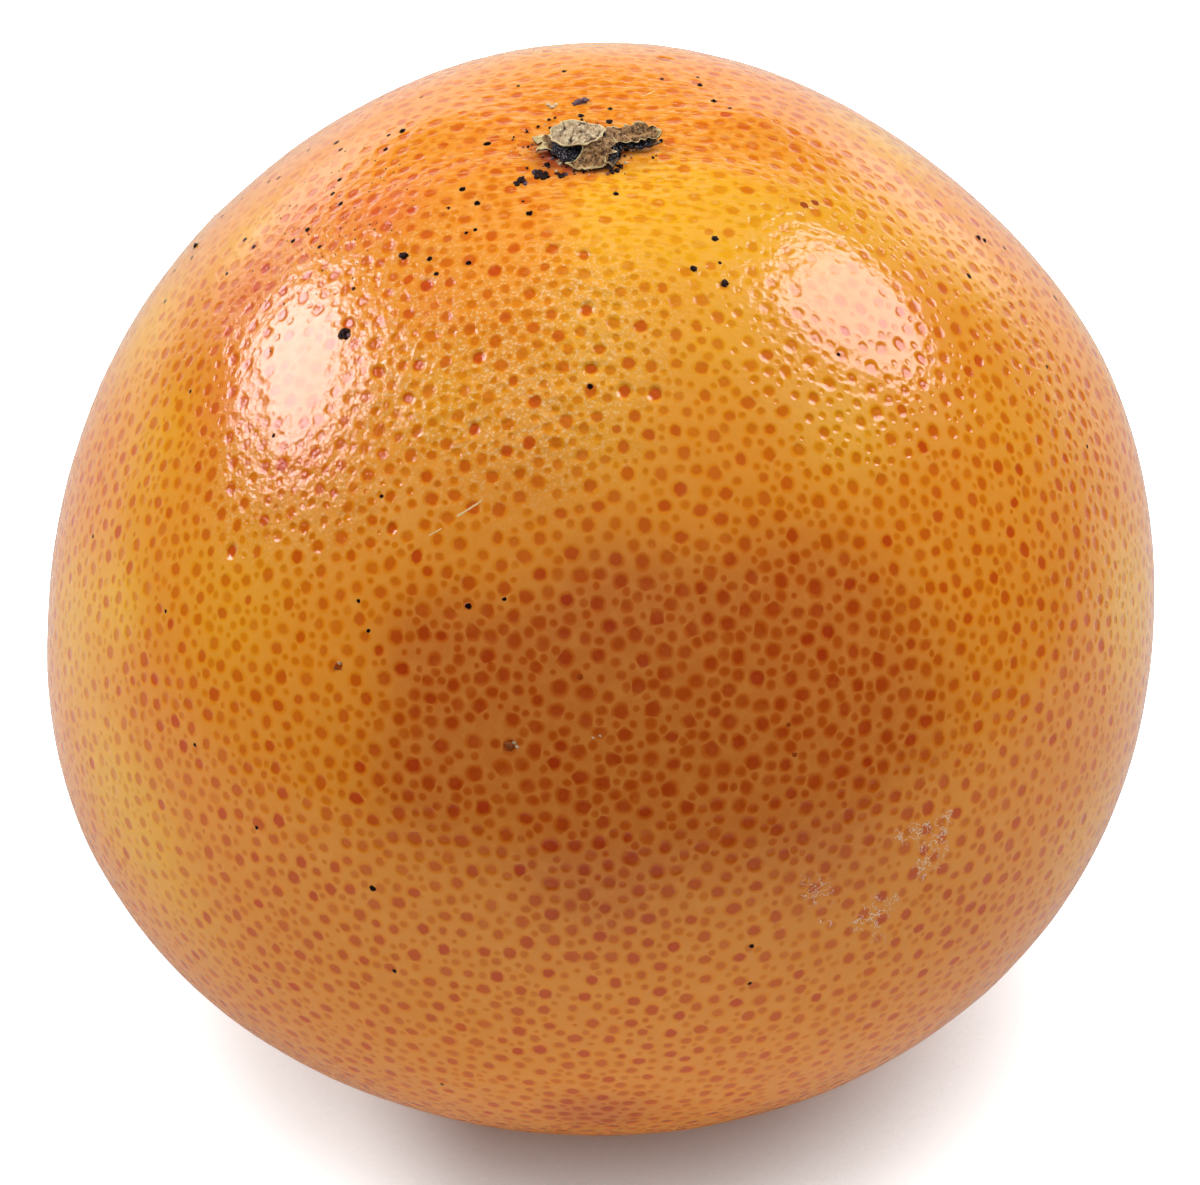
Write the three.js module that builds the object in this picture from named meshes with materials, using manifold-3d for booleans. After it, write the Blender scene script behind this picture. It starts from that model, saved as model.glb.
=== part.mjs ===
// A whole grapefruit with its dried calyx and the stub of its stalk.
// Millimetres, +Z up towards the stalk. The origin is on the surface that the fruit rests on,
// under the middle of the fruit.
import * as THREE from 'three';
import { mergeVertices } from 'three/addons/utils/BufferGeometryUtils.js';
import Module from 'manifold-3d';

const wasm = await Module();
wasm.setup();

// Form of the fruit, as a radius about its middle in a direction of polar angle p from the stalk
const meanRadius = 51.93;
const endBias = -0.40; // times cos p, fuller towards the blossom end
const squash = -0.12; // times cos 2p
const shoulder = 0.85; // times cos 3p, broad shoulders over a slimmer waist
const corner = 0.14; // times cos 4p
const lean = 0.38; // times x z of the direction
const ovalTurn = -1.28; // times sin² p cos 2a cos p, an oval above that turns crosswise below

// Soft swells and hollows: where they are in degrees, their spread in degrees, their rise in mm
const swells = [
  { azimuth: 190, polar: 108, spread: 14, rise: 0.65 }, // lower left side
  { azimuth: 200, polar: 128, spread: 20, rise: 0.99 }, // left hip
  { azimuth: 8, polar: 66, spread: 22, rise: 1.58 }, // right shoulder
  { azimuth: 165, polar: 60, spread: 20, rise: 0.53 }, // left shoulder
  { azimuth: 75, polar: 100, spread: 24, rise: 0.50 }, // back
  { azimuth: 118, polar: 122, spread: 20, rise: -0.45 }, // hollow low at the back
  { azimuth: 0, polar: 180, spread: 32, rise: -2.00 }, // flattened blossom end
  { azimuth: 0, polar: 0, spread: 14.3, rise: -2.30 }, // basin round the stalk
];

// Faint furrows that run down from the calyx over the lip of the basin
const furrowCount = 6;
const furrowDepth = 0.22;
const furrowPolar = 17;
const furrowSpread = 8;

// Flat spot it rests on, and the blossom scar in its middle
const seatDepth = 48.95; // below the middle of the fruit
const scarRadius = 3.2;
const scarDepth = 0.8;

// Mesh of the fruit
const fruitSides = 64;
const fruitRows = 44;
const poleCrowding = 0.19; // rows lie closer towards the stalk and the blossom end

// Calyx: five sepals grown together round a hub beside the fruit's axis
const clearGap = 0.3; // between one piece and the next
const hubX = -2.2;
const hubY = -1.0;
const hubRadius = 2.5;
const hubThickness = 0.7;
const hubSides = 24;
const sepalThickness = 0.62;
const sepalRoot = 0.05; // how far the sepals' undersides lie above the hub's
const sepals = [
  { azimuth: 5, length: 7.6, halfWidth: 1.20, arch: 0.45, tipLift: 1.10, keel: -0.15, tilt: -0.30 }, // right
  { azimuth: 98, length: 3.6, halfWidth: 1.50, arch: 0.15, tipLift: 0.50, keel: 0.10, tilt: 0.10 }, // back
  { azimuth: 165, length: 4.5, halfWidth: 1.05, arch: 0.10, tipLift: 0.55, keel: 0.10, tilt: 0.10 }, // left
  { azimuth: 201, length: 4.0, halfWidth: 1.25, arch: 0.20, tipLift: 0.25, keel: 0.15, tilt: -0.15 }, // left
  { azimuth: 300, length: 4.6, halfWidth: 1.75, arch: 0.85, tipLift: 0.15, keel: 0.35, tilt: 0.20 }, // front
];
const sepalTip = 0.16; // half width that is left at a sepal's tip
const sepalCells = { across: 8, along: 14 };

// Stub of the stalk: an oval woody disc with a raised uneven rim
const stubHalfX = 2.6;
const stubHalfY = 1.90;
const stubHeight = 0.70;
const stubDish = 0.20; // how far the middle of its top lies under the rim
const stubSides = 28;

const degrees = Math.PI / 180;

// The unit direction at an azimuth and a polar angle, both in radians
function direction(azimuth, polar) {
  return new THREE.Vector3(
    Math.sin(polar) * Math.cos(azimuth),
    Math.sin(polar) * Math.sin(azimuth),
    Math.cos(polar),
  );
}

// A bell about a spot on the fruit: rise times exp(-(angle to the spot / spread)²)
function bell(toward, { azimuth, polar, spread, rise }) {
  const angle = toward.angleTo(direction(azimuth * degrees, polar * degrees)) / degrees;
  return rise * Math.exp(-((angle / spread) ** 2));
}

// The fruit's radius in a unit direction
function fruitRadius(toward) {
  const polar = Math.acos(THREE.MathUtils.clamp(toward.z, -1, 1));
  const azimuth = Math.atan2(toward.y, toward.x);
  const sideways = Math.sin(polar) ** 2;
  const round = meanRadius
    + endBias * Math.cos(polar)
    + squash * Math.cos(2 * polar)
    + shoulder * Math.cos(3 * polar)
    + corner * Math.cos(4 * polar)
    + lean * toward.x * toward.z
    + ovalTurn * sideways * Math.cos(2 * azimuth) * toward.z;
  const lip = Math.exp(-(((polar / degrees - furrowPolar) / furrowSpread) ** 2));
  const furrow = furrowDepth * lip * Math.cos(furrowCount * azimuth + Math.sin(2 * azimuth));
  return swells.reduce((radius, spot) => radius + bell(toward, spot), round - furrow);
}

// A geometry with its shared corners merged, so that it is one closed skin
function welded(geometry) {
  geometry.deleteAttribute('normal');
  geometry.deleteAttribute('uv');
  return mergeVertices(geometry);
}

// Every corner of a geometry moved to place(corner)
function reshaped(geometry, place) {
  const corners = geometry.attributes.position;
  const corner = new THREE.Vector3();
  for (let index = 0; index < corners.count; index += 1) {
    const moved = place(corner.fromBufferAttribute(corners, index));
    corners.setXYZ(index, moved.x, moved.y, moved.z);
  }
  return geometry;
}

// The fruit: a sphere's grid drawn out to fruitRadius, then cut flat at the seat and pitted at the scar
function fruitGeometry() {
  const globe = welded(new THREE.SphereGeometry(1, fruitSides, fruitRows)).rotateX(Math.PI / 2);
  return reshaped(globe, (corner) => {
    const even = Math.acos(THREE.MathUtils.clamp(corner.z, -1, 1));
    const toward = direction(Math.atan2(corner.y, corner.x), even - poleCrowding * Math.sin(2 * even));
    const point = toward.multiplyScalar(fruitRadius(toward));
    point.z = Math.max(point.z + seatDepth, 0);
    const out = Math.hypot(point.x, point.y) / scarRadius;
    if (point.z < seatDepth && out < 1) point.z += scarDepth * (1 - out * out) ** 2;
    return point;
  });
}

// Height of the rind over a point near the stalk, found by closing in on the surface
function rindHeight(x, y) {
  let z = meanRadius;
  for (let step = 0; step < 12; step += 1) {
    const radius = fruitRadius(new THREE.Vector3(x, y, z).normalize());
    z = Math.sqrt(radius * radius - x * x - y * y);
  }
  return z + seatDepth;
}

// A welded geometry as a solid that can be joined and cut
function solid(geometry) {
  return new wasm.Manifold(new wasm.Mesh({
    numProp: 3,
    vertProperties: new Float32Array(geometry.attributes.position.array),
    triVerts: new Uint32Array(geometry.index.array),
  }));
}

// The largest piece of a solid, back as a geometry
function geometryOf(manifold) {
  const pieces = manifold.decompose().sort((a, b) => b.volume() - a.volume());
  const mesh = pieces[0].getMesh();
  const geometry = new THREE.BufferGeometry();
  geometry.setAttribute('position', new THREE.BufferAttribute(new Float32Array(mesh.vertProperties), 3));
  geometry.setIndex(new THREE.BufferAttribute(new Uint32Array(mesh.triVerts), 1));
  return geometry;
}

// A sepal: a thin plate that narrows to its tip, arches up from the hub, is creased along its
// middle by the keel, tilts to one side and lifts at the tip. It follows the rind below it.
function sepalGeometry({ azimuth, length, halfWidth, arch, tipLift, keel, tilt }) {
  const plate = welded(new THREE.BoxGeometry(2, 1, 1, sepalCells.across, sepalCells.along, 1));
  const turn = azimuth * degrees;
  return reshaped(plate, (corner) => {
    const across = corner.x;
    const along = corner.y + 0.5;
    const half = sepalTip + (halfWidth - sepalTip) * Math.sqrt(1 - along ** 3);
    const out = length * along;
    const x = hubX + out * Math.cos(turn) + across * half * Math.sin(turn);
    const y = hubY + out * Math.sin(turn) - across * half * Math.cos(turn);
    const lift = arch * Math.sin(Math.PI * along) + tipLift * along ** 2
      + (keel * (1 - Math.abs(across)) + tilt * across) * along;
    const underside = rindHeight(x, y) + clearGap + sepalRoot + Math.max(lift, 0);
    return corner.set(x, y, underside + sepalThickness * (corner.z + 0.5));
  });
}

// The hub that the sepals grow from: a round plate that follows the rind
function hubGeometry() {
  const plate = welded(new THREE.CylinderGeometry(hubRadius, hubRadius, hubThickness, hubSides));
  plate.rotateX(Math.PI / 2);
  return reshaped(plate, (corner) => {
    const x = hubX + corner.x;
    const y = hubY + corner.y;
    return corner.set(x, y, rindHeight(x, y) + clearGap + corner.z + hubThickness / 2);
  });
}

// The stub, grown by a margin all round when it stands for the room it takes in the calyx
function stubGeometry(margin = 0) {
  const dished = 1 - stubDish / stubHeight;
  const side = [[0, 0], [0.8, 0], [0.97, 0.3], [1, 0.75]];
  const top = [[0.93, 1], [0.72, 0.9], [0.4, dished], [0, dished]];
  const points = [...side, ...top].map(([out, up]) => new THREE.Vector2(out, up));
  const disc = welded(new THREE.LatheGeometry(points, stubSides)).rotateX(Math.PI / 2);
  const floor = rindHeight(hubX, hubY) + clearGap + hubThickness + clearGap;
  return reshaped(disc, (corner) => {
    const around = Math.atan2(corner.y, corner.x);
    const uneven = 1 + 0.05 * Math.sin(3 * around + 1) + 0.035 * Math.sin(5 * around);
    const x = hubX + corner.x * (stubHalfX * uneven + margin);
    const y = hubY + corner.y * (stubHalfY * uneven + margin);
    const z = floor + corner.z * stubHeight + (corner.z > 0.5 ? margin : -margin);
    return corner.set(x, y, z);
  });
}

// The calyx: the hub and the sepals joined, with room cut in them for the stub
function calyxGeometry() {
  const grown = sepals
    .map((sepal) => solid(sepalGeometry(sepal)))
    .reduce((joined, sepal) => joined.add(sepal), solid(hubGeometry()));
  return geometryOf(grown.subtract(solid(stubGeometry(clearGap))));
}

function piece(name, geometry, color, roughness) {
  const mesh = new THREE.Mesh(geometry, new THREE.MeshStandardMaterial({ color, roughness, metalness: 0 }));
  mesh.name = name;
  return mesh;
}

const grapefruit = new THREE.Group();
grapefruit.add(piece('fruit', fruitGeometry(), '#d98a35', 0.35));
grapefruit.add(piece('calyx', calyxGeometry(), '#6f5a3c', 0.9));
grapefruit.add(piece('stem_stub', stubGeometry(), '#a8946c', 0.9));

export default grapefruit;
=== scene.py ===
"""Grapefruit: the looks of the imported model. Lengths here are millimetres and angles are degrees,
unless a comment says otherwise.

The frame has its origin on the surface that the fruit rests on, +Z up towards the stalk. Directions
are given by an azimuth, from +X towards +Y, and a polar angle, from the stalk downwards, both seen
from the middle of the fruit.
"""
import functools

import bmesh
import bpy
import numpy as np
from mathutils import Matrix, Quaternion, Vector
from mathutils.geometry import delaunay_2d_cdt


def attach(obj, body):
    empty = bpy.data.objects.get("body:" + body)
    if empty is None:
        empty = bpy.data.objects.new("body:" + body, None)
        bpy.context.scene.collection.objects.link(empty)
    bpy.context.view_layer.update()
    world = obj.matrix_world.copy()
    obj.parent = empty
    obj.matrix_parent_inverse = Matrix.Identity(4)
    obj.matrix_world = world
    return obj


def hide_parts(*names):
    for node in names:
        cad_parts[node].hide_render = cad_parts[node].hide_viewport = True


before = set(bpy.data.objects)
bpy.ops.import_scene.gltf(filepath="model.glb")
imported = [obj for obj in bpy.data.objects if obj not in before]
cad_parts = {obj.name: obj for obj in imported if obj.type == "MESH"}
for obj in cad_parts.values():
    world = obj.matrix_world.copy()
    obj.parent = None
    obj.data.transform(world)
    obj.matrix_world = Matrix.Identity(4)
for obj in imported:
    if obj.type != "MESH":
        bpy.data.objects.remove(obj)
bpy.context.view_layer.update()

MM = 0.001 # metres in a millimetre
WELD_GAP = 0.0005 # corners nearer to each other than this become one
rng = np.random.default_rng(37)

# Form of the fruit, as in the part's source
MEAN_RADIUS = 51.93
END_BIAS = -0.40
SQUASH = -0.12
SHOULDER = 0.85
CORNER = 0.14
LEAN = 0.38
OVAL_TURN = -1.28
SWELLS = [ # azimuth, polar angle, spread, rise
    (190, 108, 14, 0.65),
    (200, 128, 20, 0.99),
    (8, 66, 22, 1.58),
    (165, 60, 20, 0.53),
    (75, 100, 24, 0.50),
    (118, 122, 20, -0.45),
    (0, 180, 32, -2.00),
    (0, 0, 14.3, -2.30),
]
FURROW_COUNT = 6
FURROW_DEPTH = 0.22
FURROW_POLAR = 17
FURROW_SPREAD = 8
SEAT_DEPTH = 48.95
SCAR_RADIUS = 3.2
SCAR_DEPTH = 0.8
MIDDLE = np.array([0.0, 0.0, SEAT_DEPTH])
NORMAL_STEP = 2e-3 # half the step along the surface, in radii, from which a normal is found
CLOSING_STEPS = 12 # enough to close in on the rind's height

# The camera, from the outline in the photo. Its frame is 1200 by 1185 pixels
PHOTO_WIDTH = 1200
PHOTO_HEIGHT = 1185
CAMERA_ELEVATION = 37
CAMERA_DISTANCE = 650
FOCAL_PX = 6859 # distance at which a pixel of the photo is one unit wide
MIDDLE_PX = (600, 588) # where the middle of the fruit is seen
SENSOR_WIDTH = 36


def unit(azimuth, polar):
    """Unit direction: (sin p cos a, sin p sin a, cos p)."""
    a, p = np.radians(azimuth), np.radians(polar)
    return np.stack([np.sin(p) * np.cos(a), np.sin(p) * np.sin(a), np.cos(p) * np.ones_like(a)], -1)


def normalised(vectors):
    """Each vector divided by its length."""
    return vectors / np.linalg.norm(vectors, axis=-1, keepdims=True)


def bell(toward, azimuth, polar, spread):
    """1 at the given spot of the fruit, falling as exp(-(angle from it / spread)²)."""
    angle = np.degrees(np.arccos(np.clip(toward @ unit(azimuth, polar), -1, 1)))
    return np.exp(-((angle / spread) ** 2))


def fruit_radius(toward):
    """Radius in mm in each unit direction: a mean radius, four cosines of the polar angle, a lean, an
    oval section that turns from one end to the other, soft swells and hollows, and furrows round the
    calyx."""
    x, y, z = toward[..., 0], toward[..., 1], np.clip(toward[..., 2], -1, 1)
    polar, azimuth = np.arccos(z), np.arctan2(y, x)
    radius = MEAN_RADIUS + END_BIAS * z + SQUASH * np.cos(2 * polar) + SHOULDER * np.cos(3 * polar)
    radius = radius + CORNER * np.cos(4 * polar) + LEAN * x * z
    radius = radius + OVAL_TURN * np.sin(polar) ** 2 * np.cos(2 * azimuth) * z
    lip = np.exp(-(((np.degrees(polar) - FURROW_POLAR) / FURROW_SPREAD) ** 2))
    radius = radius - FURROW_DEPTH * lip * np.cos(FURROW_COUNT * azimuth + np.sin(2 * azimuth))
    for swell_azimuth, swell_polar, spread, rise in SWELLS:
        radius = radius + rise * bell(toward, swell_azimuth, swell_polar, spread)
    return radius


def fruit_points(toward):
    """Points of the smooth fruit in mm: direction times radius about the middle, cut flat at the seat,
    with the blossom scar raised out of the flat as depth times (1 - (distance / radius)²)²."""
    points = toward * fruit_radius(toward)[..., None] + MIDDLE
    low = points[..., 2] < SEAT_DEPTH
    out = np.minimum(np.hypot(points[..., 0], points[..., 1]) / SCAR_RADIUS, 1)
    points[..., 2] = np.maximum(points[..., 2], 0) + low * SCAR_DEPTH * (1 - out**2) ** 2
    return points


def tangents(toward):
    """Two unit vectors across each direction and across each other."""
    pole = np.where(np.abs(toward[..., 2:3]) < 0.9, [[0.0, 0.0, 1.0]], [[1.0, 0.0, 0.0]])
    first = normalised(np.cross(pole, toward))
    return first, np.cross(toward, first)


def fruit_normals(toward):
    """Outward normals: the cross product of two small steps along the surface."""
    steps = []
    for side in tangents(toward):
        ahead = fruit_points(normalised(toward + NORMAL_STEP * side))
        steps.append(ahead - fruit_points(normalised(toward - NORMAL_STEP * side)))
    return normalised(np.cross(*steps))


def rind_height(x, y):
    """Height of the rind in mm over points near the stalk, found by closing in on the surface."""
    z = np.full_like(x, MEAN_RADIUS)
    for _ in range(CLOSING_STEPS):
        radius = fruit_radius(normalised(np.stack([x, y, z], -1)))
        z = np.sqrt(radius**2 - x**2 - y**2)
    return z + SEAT_DEPTH


# Ripples: height, wavelength, number of waves, seed
RIPPLES = {
    "rind_swell": (0.03, 9, 40, 5),
    "rind_bumps": (1.0, 3.2, 60, 6),
    "hub_outline": (0.10, 1.1, 16, 31),
    "hub_lumps": (1.0, 0.8, 60, 32),
    "sepal_bites": (0.20, 0.8, 24, 50),
    "sepal_folds": (0.30, 2.0, 30, 70),
    "sepal_creases": (0.11, 0.7, 40, 80),
    "sepal_veins": (3.0, 2.5, 12, 90),
    "sepal_skin": (0.06, 0.42, 50, 99),
    "stub_nicks": (0.06, 0.42, 30, 41),
    "stub_outline": (0.08, 1.1, 20, 47),
    "stub_cracks": (1.0, 1.7, 24, 43),
    "stub_lumps": (0.15, 1.1, 40, 44),
    "stub_grain": (0.09, 0.42, 60, 45),
    "stub_rim": (0.08, 0.9, 20, 46),
    "crumb_lumps": (0.30, 1.3, 40, 51),
    "crumb_grain": (0.12, 0.5, 40, 52),
}
RIPPLE_LENGTHS = (0.75, 1.35) # shares of a ripple's wavelength that its waves have
RIPPLE_EVENING = 0.9 # brings the sum of the waves to between about -1 and 1


def ripple(name, points, index=0):
    """Smooth unevenness of about the ripple's height up and down: the sum of its sine waves, which run in
    random directions, over the root of their number. Pieces of one kind differ by their index."""
    height, wavelength, waves, seed = RIPPLES[name]
    draw = np.random.default_rng(seed + index)
    directions = normalised(draw.normal(size=(waves, 3)))
    lengths = wavelength * draw.uniform(*RIPPLE_LENGTHS, waves)
    phases = draw.uniform(0, 2 * np.pi, waves)
    total = np.sin(points @ (directions * (2 * np.pi / lengths)[:, None]).T + phases).sum(-1)
    return height * (total / np.sqrt(waves) * RIPPLE_EVENING)


# The camera, and the way from a pixel of the photo to the rind
rise = np.radians(CAMERA_ELEVATION)
camera_back = np.array([0.0, -np.cos(rise), np.sin(rise)])
camera_up = np.array([0.0, np.sin(rise), np.cos(rise)])


def make_camera():
    """A camera that looks at the middle of the fruit from the photo's height, with its frame."""
    data = bpy.data.cameras.new("camera")
    data.sensor_width = SENSOR_WIDTH
    data.lens = FOCAL_PX / PHOTO_WIDTH * SENSOR_WIDTH
    data.shift_y = (MIDDLE_PX[1] - PHOTO_HEIGHT / 2) / PHOTO_WIDTH
    data.clip_start, data.clip_end = 0.01, 20
    camera = bpy.data.objects.new("camera", data)
    camera.location = Vector((MIDDLE + camera_back * CAMERA_DISTANCE) * MM)
    camera.rotation_euler = (np.pi / 2 - rise, 0, 0)
    bpy.context.scene.collection.objects.link(camera)
    bpy.context.scene.camera = camera


RAY_STEPS = 40
RAY_SHARE = 0.8 # of the height over the rind that a ray steps on
RAY_GRAZE = 0.2 # least cosine to the rind that a ray's step is made for


def seen_at(pixels):
    """Unit directions from the middle to where the camera's rays through these pixels meet the rind. Each
    ray starts on a ball and steps on by a share of the height that it still has over the rind."""
    pixels = np.asarray(pixels, float)
    right = np.array([1.0, 0.0, 0.0])
    rays = -camera_back * FOCAL_PX + right * (pixels[:, :1] - MIDDLE_PX[0])
    rays = normalised(rays - camera_up * (pixels[:, 1:2] - MIDDLE_PX[1]))
    eye = camera_back * CAMERA_DISTANCE
    nearest = -(rays @ eye)
    inside = np.maximum(nearest**2 - (CAMERA_DISTANCE**2 - MEAN_RADIUS**2), 0)
    reach = nearest - np.sqrt(inside)
    for _ in range(RAY_STEPS):
        points = eye + rays * reach[:, None]
        toward = normalised(points)
        over = np.linalg.norm(points, axis=1) - fruit_radius(toward)
        facing = np.maximum(-(toward * rays).sum(1), RAY_GRAZE)
        reach = reach + RAY_SHARE * over / facing
    return toward


# Oil glands. Each kind has a number, a spot radius, its scatter, the least spacing to its own kind,
# the strength and redness of its colour, and the depth of its dimple
GLAND_KINDS = [
    (4300, 0.63, 0.05, 1.98, 0.74, 0.72, 0.036),
    (4300, 0.50, 0.05, 1.50, 0.61, 0.42, 0.031),
    (5200, 0.40, 0.04, 1.14, 0.52, 0.22, 0.025),
    (7600, 0.28, 0.04, 0.84, 0.44, 0.08, 0.017),
]
GLAND_CROWDING = 0.50 # extra spacing between two glands, for each mm that their radii differ
GLAND_THROWS = 3000 # in each round
GLAND_ROUNDS = 12
GLAND_BANDS = 40 # by height, so that only near glands are compared
SEAM_RADIUS = 0.3 # of the gland at the blossom end, where the cells close


def room_for(tries, sizes, spacing, directions, radii, spacings):
    """Which throws have room among the glands that lie already: those further from each of them than
    the spacing of the smaller one plus a share of the difference in radius. It works in bands."""
    clear = np.ones(len(tries), bool)
    if len(directions) == 0:
        return clear
    by_height = np.argsort(directions[:, 2])
    heights = directions[by_height, 2]
    reach = 1.1 * GLAND_KINDS[0][3] / MEAN_RADIUS
    for band in np.array_split(np.argsort(tries[:, 2]), GLAND_BANDS):
        low = np.searchsorted(heights, tries[band, 2].min() - reach)
        high = np.searchsorted(heights, tries[band, 2].max() + reach)
        near = by_height[low:high]
        differ = np.abs(sizes[band, None] - radii[near])
        need = np.minimum(spacing, spacings[near]) + GLAND_CROWDING * differ
        apart = np.sqrt(np.maximum(2 - 2 * tries[band] @ directions[near].T, 0)) * MEAN_RADIUS
        clear[band] = (apart > need).all(1)
    return clear


def scatter_glands():
    """Directions, radii and kinds of the glands. The largest are thrown first. A throw stays where it has
    room, and of two throws at one place the first stays."""
    directions = np.zeros((0, 3))
    radii = np.zeros(0)
    spacings = np.zeros(0)
    kinds = np.zeros(0, int)
    for kind, (wanted, mean, spread, spacing, *_) in enumerate(GLAND_KINDS):
        placed = 0
        for _ in range(GLAND_ROUNDS):
            tries = normalised(rng.normal(size=(GLAND_THROWS, 3)))
            sizes = mean + spread * np.clip(rng.normal(size=GLAND_THROWS), -2, 2)
            clear = room_for(tries, sizes, spacing, directions, radii, spacings)
            tries, sizes = tries[clear], sizes[clear]
            touching = tries @ tries.T > 1 - (spacing / MEAN_RADIUS) ** 2 / 2
            first = ~np.tril(touching, -1).any(1)
            tries, sizes = tries[first][: wanted - placed], sizes[first][: wanted - placed]
            placed += len(tries)
            directions = np.concatenate([directions, tries])
            radii = np.concatenate([radii, sizes])
            spacings = np.concatenate([spacings, np.full(len(tries), spacing)])
            kinds = np.concatenate([kinds, np.full(len(tries), kind)])
    return directions, radii, kinds


def cells_of(directions):
    """The cells of points on a ball. The points are laid on a plane from the blossom end and joined in
    triangles there, so the blossom end is one more point, joined to the outermost ones. A cell's corners
    are the middles of the circles round its triangles. Gives back all points and corners, then for every
    border between two cells: the cell on each side and the corner at each end."""
    away = directions[:, :2] / (1 + directions[:, 2:3])
    found = delaunay_2d_cdt([Vector(p) for p in away], [], [], 0, 1e-12, True)
    order = np.array([sources[0] for sources in found[3]])
    faces = order[np.array(found[2])]
    count = len(directions)
    everything = np.concatenate([directions, [[0.0, 0.0, -1.0]]])
    a, b, c = (everything[faces[:, k]] for k in range(3))
    flipped = (np.cross(b - a, c - a) * a).sum(1) < 0
    faces[flipped] = faces[flipped][:, ::-1]
    edges = np.concatenate([faces[:, [0, 1]], faces[:, [1, 2]], faces[:, [2, 0]]])
    keys = edges[:, 0] * (count + 1) + edges[:, 1]
    back = edges[:, 1] * (count + 1) + edges[:, 0]
    outer = edges[~np.isin(keys, back)]
    rim = np.stack([outer[:, 1], outer[:, 0], np.full(len(outer), count)], 1)
    faces = np.concatenate([faces, rim])
    a, b, c = (everything[faces[:, k]] for k in range(3))
    corners = normalised(np.cross(b - a, c - a))
    edges = np.concatenate([faces[:, [0, 1]], faces[:, [1, 2]], faces[:, [2, 0]]])
    left = np.tile(np.arange(len(faces)), 3)
    keys = edges[:, 0] * (count + 1) + edges[:, 1]
    back = edges[:, 1] * (count + 1) + edges[:, 0]
    by_key = np.argsort(keys)
    right = left[by_key[np.searchsorted(keys[by_key], back)]]
    return everything, corners, edges, left, right


def new_mesh(name, points, faces):
    """A mesh object from points in mm and faces of equal size, shaded smooth, placed by its mesh."""
    mesh = bpy.data.meshes.new(name)
    faces = np.asarray(faces)
    size = faces.shape[1]
    mesh.vertices.add(len(points))
    mesh.vertices.foreach_set("co", (np.asarray(points) * MM).astype(np.float32).ravel())
    mesh.loops.add(faces.size)
    mesh.loops.foreach_set("vertex_index", faces.astype(np.int32).ravel())
    mesh.polygons.add(len(faces))
    mesh.polygons.foreach_set("loop_start", np.arange(0, faces.size, size, dtype=np.int32))
    mesh.polygons.foreach_set("use_smooth", np.ones(len(faces), bool))
    mesh.update(calc_edges=True)
    mesh.validate()
    piece = bpy.data.objects.new(name, mesh)
    bpy.context.scene.collection.objects.link(piece)
    return piece


def weld(piece):
    """Joins the corners that lie together at a piece's poles, which closes its shells."""
    mesh = bmesh.new()
    mesh.from_mesh(piece.data)
    bmesh.ops.remove_doubles(mesh, verts=mesh.verts, dist=WELD_GAP * MM)
    mesh.to_mesh(piece.data)
    mesh.free()


def add_attribute(piece, name, kind, domain, values):
    """Writes values into a new attribute of the piece's mesh."""
    layer = piece.data.attributes.new(name, kind, domain)
    field = "value" if kind == "FLOAT" else "vector"
    layer.data.foreach_set(field, np.asarray(values, np.float32).ravel())


def add_uv(piece, name, values):
    """Writes one pair of numbers for each corner into a new UV map of the piece's mesh."""
    layer = piece.data.uv_layers.new(name=name, do_init=False)
    layer.data.foreach_set("uv", np.asarray(values, np.float32).ravel())


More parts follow.
